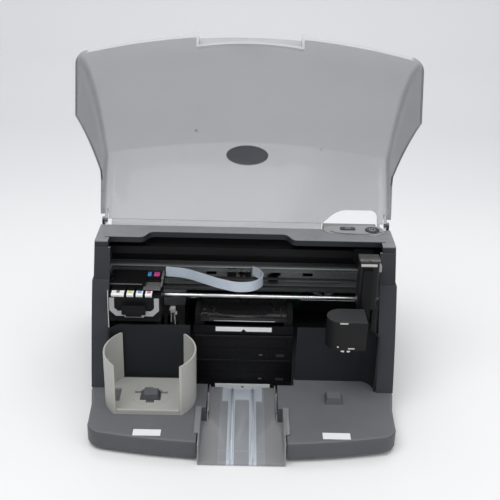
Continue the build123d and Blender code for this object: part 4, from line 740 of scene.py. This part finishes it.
class PRINTER_OT_bay_fittings(bpy.types.Operator):
    """Add the pale strip, the pump lever, the rail clips and the end stop inside the bay"""
    bl_idname = "printer.bay_fittings"
    bl_label = "Bay fittings"

    def execute(self, context):
        edge = context.scene.printer_sizes.edge / MM
        rod = context.scene.printer_sizes.rod / MM
        bm = bmesh.new()
        line = [(-197.2, -61.0, 122.6), (-197.4, -60.0, 150.0), (-197.2, -58.0, 181.0)]
        add_strip(bm, line, (0, 2.6, 0), 0.9)
        finish_mesh(bm, "pillar_strip", "pale", "housing")
        bm = bmesh.new()
        add_box(bm, -112.0, -104.5, -4.0, 3.0, 118.0, 126.4, edge * 2, 3)
        add_rod(bm, (-110.5, 0.0, 119.0), (-111.0, -1.5, 101.0), rod, bevel=0.2)
        add_rod(bm, (-106.5, 0.0, 119.0), (-104.8, -1.5, 96.5), rod * 1.3, bevel=0.2)
        add_rod(bm, (-111.5, -4.4, 123.0), (-111.5, 4.0, 123.0), 1.9, bevel=edge)
        add_rod(bm, (-103.5, -5.0, 116.0), (-103.5, 3.0, 116.0), 1.6, bevel=edge)
        finish_mesh(bm, "pump_lever", "pale", "housing")
        bm = bmesh.new()
        add_box(bm, -113.0, -100.5, -3.2, 6.0, 92.5, 97.6, edge * 2)
        finish_mesh(bm, "lever_foot", "black", "housing")
        bm = bmesh.new()
        add_box(bm, -27.0, -13.0, 35.5, 49.9, 160.0, 174.0, edge * 2)
        add_box(bm, -24.5, -15.5, 33.6, 36.0, 164.0, 172.5, edge)
        add_box(bm, -8.0, -2.0, 36.0, 49.9, 158.5, 166.0, edge * 2)
        add_box(bm, 0.0, 9.5, 37.0, 49.9, 160.5, 170.0, edge * 2)
        add_box(bm, 36.0, 52.0, 37.5, 49.9, 153.5, 160.0, edge * 2)
        finish_mesh(bm, "rail_clips", "black", "housing")
        bm = bmesh.new()
        add_box(bm, -4.0, 6.0, 40.0, 49.9, 167.0, 177.0, edge * 2)
        add_box(bm, 60.0, 150.0, 45.0, 49.9, 149.0, 153.0, edge * 2)
        add_box(bm, -95.0, -62.0, 45.0, 49.9, 149.0, 156.0, edge * 2)
        finish_mesh(bm, "rail_blocks", "dull", "housing")
        bm = bmesh.new()
        add_box(bm, 193.8, 198.0, -33.0, -24.0, 209.0, 217.5, edge * 2)
        add_box(bm, 193.0, 197.9, -33.6, -23.0, 208.0, 209.6, edge)
        finish_mesh(bm, "end_stop", "grey", "housing")
        return {"FINISHED"}


class PRINTER_OT_lid_hem(bpy.types.Operator):
    """Carry the lid's panel down past the hinge line, as the clear hem behind the bridge"""
    bl_idname = "printer.lid_hem"
    bl_label = "Lid hem"

    def execute(self, context):
        bm = bmesh.new()
        add_box(bm, -207.0, 117.0, -1.4, 1.4, -11.0, 0.6, 0.4)
        add_box(bm, 203.4, 207.0, -1.4, 1.4, -11.0, 0.6, 0.4)
        lean = math.atan2(73.6, 104.0)  # the lid's panel where it meets the hinge line
        place = Matrix.Translation((0.0, 75.3, 237.4)) @ Matrix.Rotation(-lean, 4, "X")
        bmesh.ops.transform(bm, matrix=place, verts=bm.verts)
        finish_mesh(bm, "lid_hem", "lid", "lid")
        return {"FINISHED"}


class PRINTER_OT_corner_caps(bpy.types.Operator):
    """Close the bridge's two front corners down onto the pillars"""
    bl_idname = "printer.corner_caps"
    bl_label = "Corner caps"

    def execute(self, context):
        outline = [(-9.25, 226.4), (-5.9, 234.6), (-4.3, 236.05), (9.0, 236.05), (9.0, 226.4)]
        for side, x0, x1 in (("left", -221.0, -201.5), ("right", 201.5, 221.0)):
            bm = bmesh.new()
            face = bm.faces.new([bm.verts.new((x0, y, z)) for y, z in outline])
            drawn = bmesh.ops.extrude_face_region(bm, geom=[face])["geom"]
            bmesh.ops.translate(bm, vec=(x1 - x0, 0, 0), verts=new_verts(drawn))
            round_edges(bm, bm.edges[:], 0.5)
            finish_mesh(bm, f"{side}_corner_cap", "cover", "housing")
        return {"FINISHED"}


class PRINTER_OT_slide(bpy.types.Operator):
    """Trim the slide's upper walls down to its floor, as the real one has them"""
    bl_idname = "printer.slide"
    bl_label = "Slide"

    def execute(self, context):
        bm = bmesh.new()
        bm.from_mesh(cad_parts["output_chute"].data)
        bmesh.ops.remove_doubles(bm, verts=bm.verts, dist=0.00001)
        bmesh.ops.scale(bm, vec=(1 / MM, 1 / MM, 1 / MM), verts=bm.verts)
        whole = bm.verts[:] + bm.edges[:] + bm.faces[:]
        bmesh.ops.bisect_plane(
            bm, geom=whole, dist=0.001, plane_co=(0, SLIDE_CUT_Y, 0), plane_no=(0, 1, 0)
        )
        faces = [f for f in bm.faces if f.calc_center_median().y > SLIDE_CUT_Y]
        edges = list({e for f in faces for e in f.edges})
        verts = list({v for f in faces for v in f.verts})
        bmesh.ops.bisect_plane(
            bm, geom=verts + edges + faces, dist=0.001, plane_co=SLIDE_CUT_POINT,
            plane_no=Vector(SLIDE_CUT_WAY).normalized(), clear_outer=True,
        )
        bmesh.ops.holes_fill(bm, edges=[e for e in bm.edges if e.is_boundary], sides=0)
        obj = finish_mesh(bm, "slide", "chute", "housing")
        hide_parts("output_chute")
        return {"FINISHED"}


class PRINTER_OT_bin_trim(bpy.types.Operator):
    """Add the bin's front lip and the shallow ring round the slot in its floor"""
    bl_idname = "printer.bin_trim"
    bl_label = "Bin trim"

    def execute(self, context):
        bm = bmesh.new()
        add_box(bm, -177.5, -88.5, -147.0, -143.6, 34.6, 39.6, 0.8, 3)
        finish_mesh(bm, "bin_lip", "bin", "bin")
        bm = bmesh.new()
        add_ring(bm, (-133.0, -102.0, 35.0), 27.0, 0.35, steps=64)
        finish_mesh(bm, "bin_ring", "bin", "bin")
        return {"FINISHED"}


class PRINTER_OT_drive_marks(bpy.types.Operator):
    """Add the busy lamp and the hand-release hole of each drive"""
    bl_idname = "printer.drive_marks"
    bl_label = "Drive lamps"

    def execute(self, context):
        for name, z in (("upper", 65.0), ("lower", 23.0)):
            bm = bmesh.new()
            add_box(bm, 24.0, 29.0, -34.5, -33.9, z - 0.8, z + 0.8, 0.25)
            finish_mesh(bm, f"{name}_lamp", "dull", "housing")
            bm = bmesh.new()
            add_rod(bm, (36.0, -34.25, z), (36.0, -33.9, z), 0.8, bevel=0.1)
            finish_mesh(bm, f"{name}_release_hole", "rubber", "housing")
        return {"FINISHED"}


class PRINTER_OT_tray_fittings(bpy.types.Operator):
    """Add a bright steel strip as painted highlight along the tray's front edge, and the
    springs and side levers of the print tray
    """
    bl_idname = "printer.tray_fittings"
    bl_label = "Print tray fittings"

    def execute(self, context):
        edge = context.scene.printer_sizes.edge / MM
        bm = bmesh.new()
        # painted highlight: a bright steel strip along the tray's front top edge
        add_box(bm, -45.0, 46.0, -28.1, -27.5, 118.4, 119.8, edge / 2)
        finish_mesh(bm, "tray_edge_highlight", "steel", "label_tray")
        bm = bmesh.new()
        for side in (-1, 1):
            add_rod(bm, (side * 47.5, 6.0, 124.4), (side * 43.5, -1.0, 125.0), 0.6, bevel=0.15)
            add_rod(bm, (side * 43.5, -1.0, 125.0), (side * 47.0, -7.0, 124.4), 0.8, bevel=0.15)
        finish_mesh(bm, "disc_springs", "pin", "label_tray")
        bm = bmesh.new()
        add_box(bm, 55.0, 56.4, -18.0, 5.0, 124.0, 125.6, edge)
        finish_mesh(bm, "side_wire", "pin", "label_tray")
        bm = bmesh.new()
        add_box(bm, -63.0, -54.0, -18.0, -12.0, 124.0, 125.0, edge)
        add_rod(bm, (-60.0, -6.0, 124.0), (-60.0, -6.0, 126.2), 3.0, 24, edge)
        add_rod(bm, (-60.0, -6.0, 126.0), (-60.0, -6.0, 127.2), 1.0, 16, 0.2)
        finish_mesh(bm, "tray_pivot", "satin", "label_tray")
        return {"FINISHED"}


class PRINTER_OT_arm_trim(bpy.types.Operator):
    """Add the arm's cap plate, and the gripper's clip and contact pins"""
    bl_idname = "printer.arm_trim"
    bl_label = "Arm trim"

    def execute(self, context):
        edge = context.scene.printer_sizes.edge / MM
        bm = bmesh.new()
        add_box(bm, 164.5, 187.5, -55.7, -54.9, 226.4, 230.6, edge)
        finish_mesh(bm, "column_plate", "pale", "arm")
        bm = bmesh.new()
        add_box(bm, 134.0, 145.5, -107.9, -106.9, 161.4, 163.6, edge)
        finish_mesh(bm, "gripper_clip", "pale", "lift")
        bm = bmesh.new()
        add_rod(bm, (133.0, -107.8, 125.0), (133.0, -106.9, 125.0), 1.4, bevel=0.2)
        add_box(bm, 147.5, 157.0, -107.7, -106.9, 121.4, 123.6, edge)
        finish_mesh(bm, "contact_pins", "steel", "lift")
        return {"FINISHED"}


class PRINTER_OT_key_marks(bpy.types.Operator):
    """Add a dark strip as painted shadow in the groove round the control panel, and a plain
    power sign
    """
    bl_idname = "printer.key_marks"
    bl_label = "Key marks"

    def execute(self, context):
        bm = bmesh.new()
        path = [
            (128.0, 47.0), (136.0, 40.5), (150.0, 37.2), (166.0, 36.3), (184.0, 36.6),
            (200.0, 40.5), (207.0, 46.0),
        ]
        # painted shadow: a dark strip standing in the groove round the panel
        add_strip(bm, [(x, y, 236.9) for x, y in path], (0, 0, 0.5), 0.9)
        finish_mesh(bm, "panel_groove_shadow", "groove", "housing")
        bm = bmesh.new()
        add_ring(bm, (193.0, 53.0, 238.25), 4.6, 0.42, math.radians(125), math.radians(290), 28)
        add_box(bm, 192.5, 193.5, 54.0, 59.5, 238.1, 238.5, 0.15)
        finish_mesh(bm, "power_sign", "print", "power_key")
        bm = bmesh.new()
        add_box(bm, 151.5, 160.5, 56.2, 57.8, 238.15, 238.45, 0.12)
        finish_mesh(bm, "menu_sign", "print", "menu_key")
        return {"FINISHED"}


class PRINTER_OT_stage(bpy.types.Operator):
    """Set the paper backdrop, the soft lights and the camera"""
    bl_idname = "printer.stage"
    bl_label = "Stage"

    def execute(self, context):
        studio = context.scene.printer_studio
        bm = bmesh.new()
        line = [bm.verts.new((-HALF_BACKDROP, y, z)) for y, z in BACKDROP_ROWS]
        edges = [bm.edges.new(pair) for pair in zip(line, line[1:])]
        drawn = bmesh.ops.extrude_edge_only(bm, edges=edges)["geom"]
        bmesh.ops.translate(bm, vec=(2 * HALF_BACKDROP, 0, 0), verts=new_verts(drawn))
        bmesh.ops.scale(bm, vec=(MM, MM, MM), verts=bm.verts)
        bmesh.ops.recalc_face_normals(bm, faces=bm.faces)
        mesh = bpy.data.meshes.new("backdrop")
        bm.to_mesh(mesh)
        bm.free()
        mesh.shade_smooth()
        g = Graph("paper_backdrop")
        _, y, _ = g.axes()
        paper = g.noise(300.0, 3.0)
        floor = g.mix(paper, (0.84, 0.84, 0.84), (0.87, 0.87, 0.87))
        # painted shade: the paper painted darker towards the back and up the sweep
        g.set(Base_Color=g.mix(y.ramp(0.2, 1.4), floor, (0.70, 0.71, 0.725)), Roughness=0.9)
        g.bump(paper, 0.0001, 0.2)
        mesh.materials.append(g.mat)
        backdrop = bpy.data.objects.new("backdrop", mesh)
        context.scene.collection.objects.link(backdrop)
        for name, place, aim, size, watts in (
            ("key_light", (-0.5, -0.9, 2.1), (0, 0, 0.15), (1.8, 1.4), studio.key),
            ("fill_light", (1.7, -1.3, 1.1), (0, 0, 0.2), (1.4, 1.4), studio.fill),
            ("back_light", (0.2, 1.1, 2.2), (0, 0.2, 0.3), (2.2, 1.2), studio.back),
        ):
            self.lamp(context, name, place, aim, size, watts)
        world = bpy.data.worlds.new("studio")
        world.use_nodes = True
        sky = world.node_tree.nodes["Background"]
        sky.inputs[0].default_value = (0.93, 0.94, 0.96, 1)
        sky.inputs[1].default_value = studio.sky
        context.scene.world = world
        context.scene.view_settings.view_transform = "Standard"
        self.aim_camera(context, studio)
        return {"FINISHED"}

    def lamp(self, context, name, place, aim, size, watts):
        light = bpy.data.lights.new(name, "AREA")
        light.shape = "RECTANGLE"
        light.size, light.size_y = size
        light.energy = watts
        lamp = bpy.data.objects.new(name, light)
        lamp.location = place
        ahead = Vector(aim) - Vector(place)
        lamp.rotation_euler = ahead.to_track_quat("-Z", "Y").to_euler()
        context.scene.collection.objects.link(lamp)

    def aim_camera(self, context, studio):
        pitch, yaw, roll = studio.pitch, CAMERA_YAW, CAMERA_ROLL
        level = math.cos(pitch)
        ahead = Vector((math.sin(yaw) * level, math.cos(yaw) * level, -math.sin(pitch)))
        side = Vector((math.cos(yaw), -math.sin(yaw), 0.0))
        up = side.cross(ahead)
        right = math.cos(roll) * side + math.sin(roll) * up
        top = -math.sin(roll) * side + math.cos(roll) * up
        data = bpy.data.cameras.new("photo_camera")
        data.sensor_width = 36.0
        data.sensor_fit = "HORIZONTAL"
        data.lens = studio.lens
        camera = bpy.data.objects.new("photo_camera", data)
        turn = Matrix((right, top, -ahead)).transposed().to_4x4()
        camera.matrix_world = Matrix.Translation(Vector(CAMERA_PLACE) * MM) @ turn
        context.scene.collection.objects.link(camera)
        context.scene.camera = camera


PIECES = (
    PRINTER_OT_finishes, PRINTER_OT_cartridge_labels, PRINTER_OT_carriage_trim,
    PRINTER_OT_bay_fittings, PRINTER_OT_lid_hem, PRINTER_OT_corner_caps, PRINTER_OT_slide,
    PRINTER_OT_bin_trim, PRINTER_OT_drive_marks, PRINTER_OT_tray_fittings,
    PRINTER_OT_arm_trim, PRINTER_OT_key_marks, PRINTER_OT_stage,
)


class PRINTER_PT_panel(bpy.types.Panel):
    """Sizes, colours and steps of the printer"""
    bl_idname = "PRINTER_PT_panel"
    bl_label = "Disc label printer"
    bl_space_type = "VIEW_3D"
    bl_region_type = "UI"
    bl_category = "Printer"

    def draw(self, context):
        for group in ("printer_colours", "printer_sizes", "printer_studio"):
            settings = getattr(context.scene, group)
            for name in settings.__annotations__:
                self.layout.prop(settings, name)
        for piece in PIECES:
            self.layout.operator(piece.bl_idname)


CLASSES = (PrinterColours, PrinterSizes, PrinterStudio, *PIECES, PRINTER_PT_panel)


def register():
    for cls in CLASSES:
        bpy.utils.register_class(cls)
    bpy.types.Scene.printer_colours = PointerProperty(type=PrinterColours)
    bpy.types.Scene.printer_sizes = PointerProperty(type=PrinterSizes)
    bpy.types.Scene.printer_studio = PointerProperty(type=PrinterStudio)


def unregister():
    for name in ("printer_colours", "printer_sizes", "printer_studio"):
        delattr(bpy.types.Scene, name)
    for cls in reversed(CLASSES):
        bpy.utils.unregister_class(cls)


def main():
    register()
    bpy.ops.printer.finishes()
    bpy.ops.printer.cartridge_labels()
    bpy.ops.printer.carriage_trim()
    bpy.ops.printer.bay_fittings()
    bpy.ops.printer.lid_hem()
    bpy.ops.printer.corner_caps()
    bpy.ops.printer.slide()
    bpy.ops.printer.bin_trim()
    bpy.ops.printer.drive_marks()
    bpy.ops.printer.tray_fittings()
    bpy.ops.printer.arm_trim()
    bpy.ops.printer.key_marks()
    bpy.ops.printer.stage()


if __name__ == "__main__":
    main()
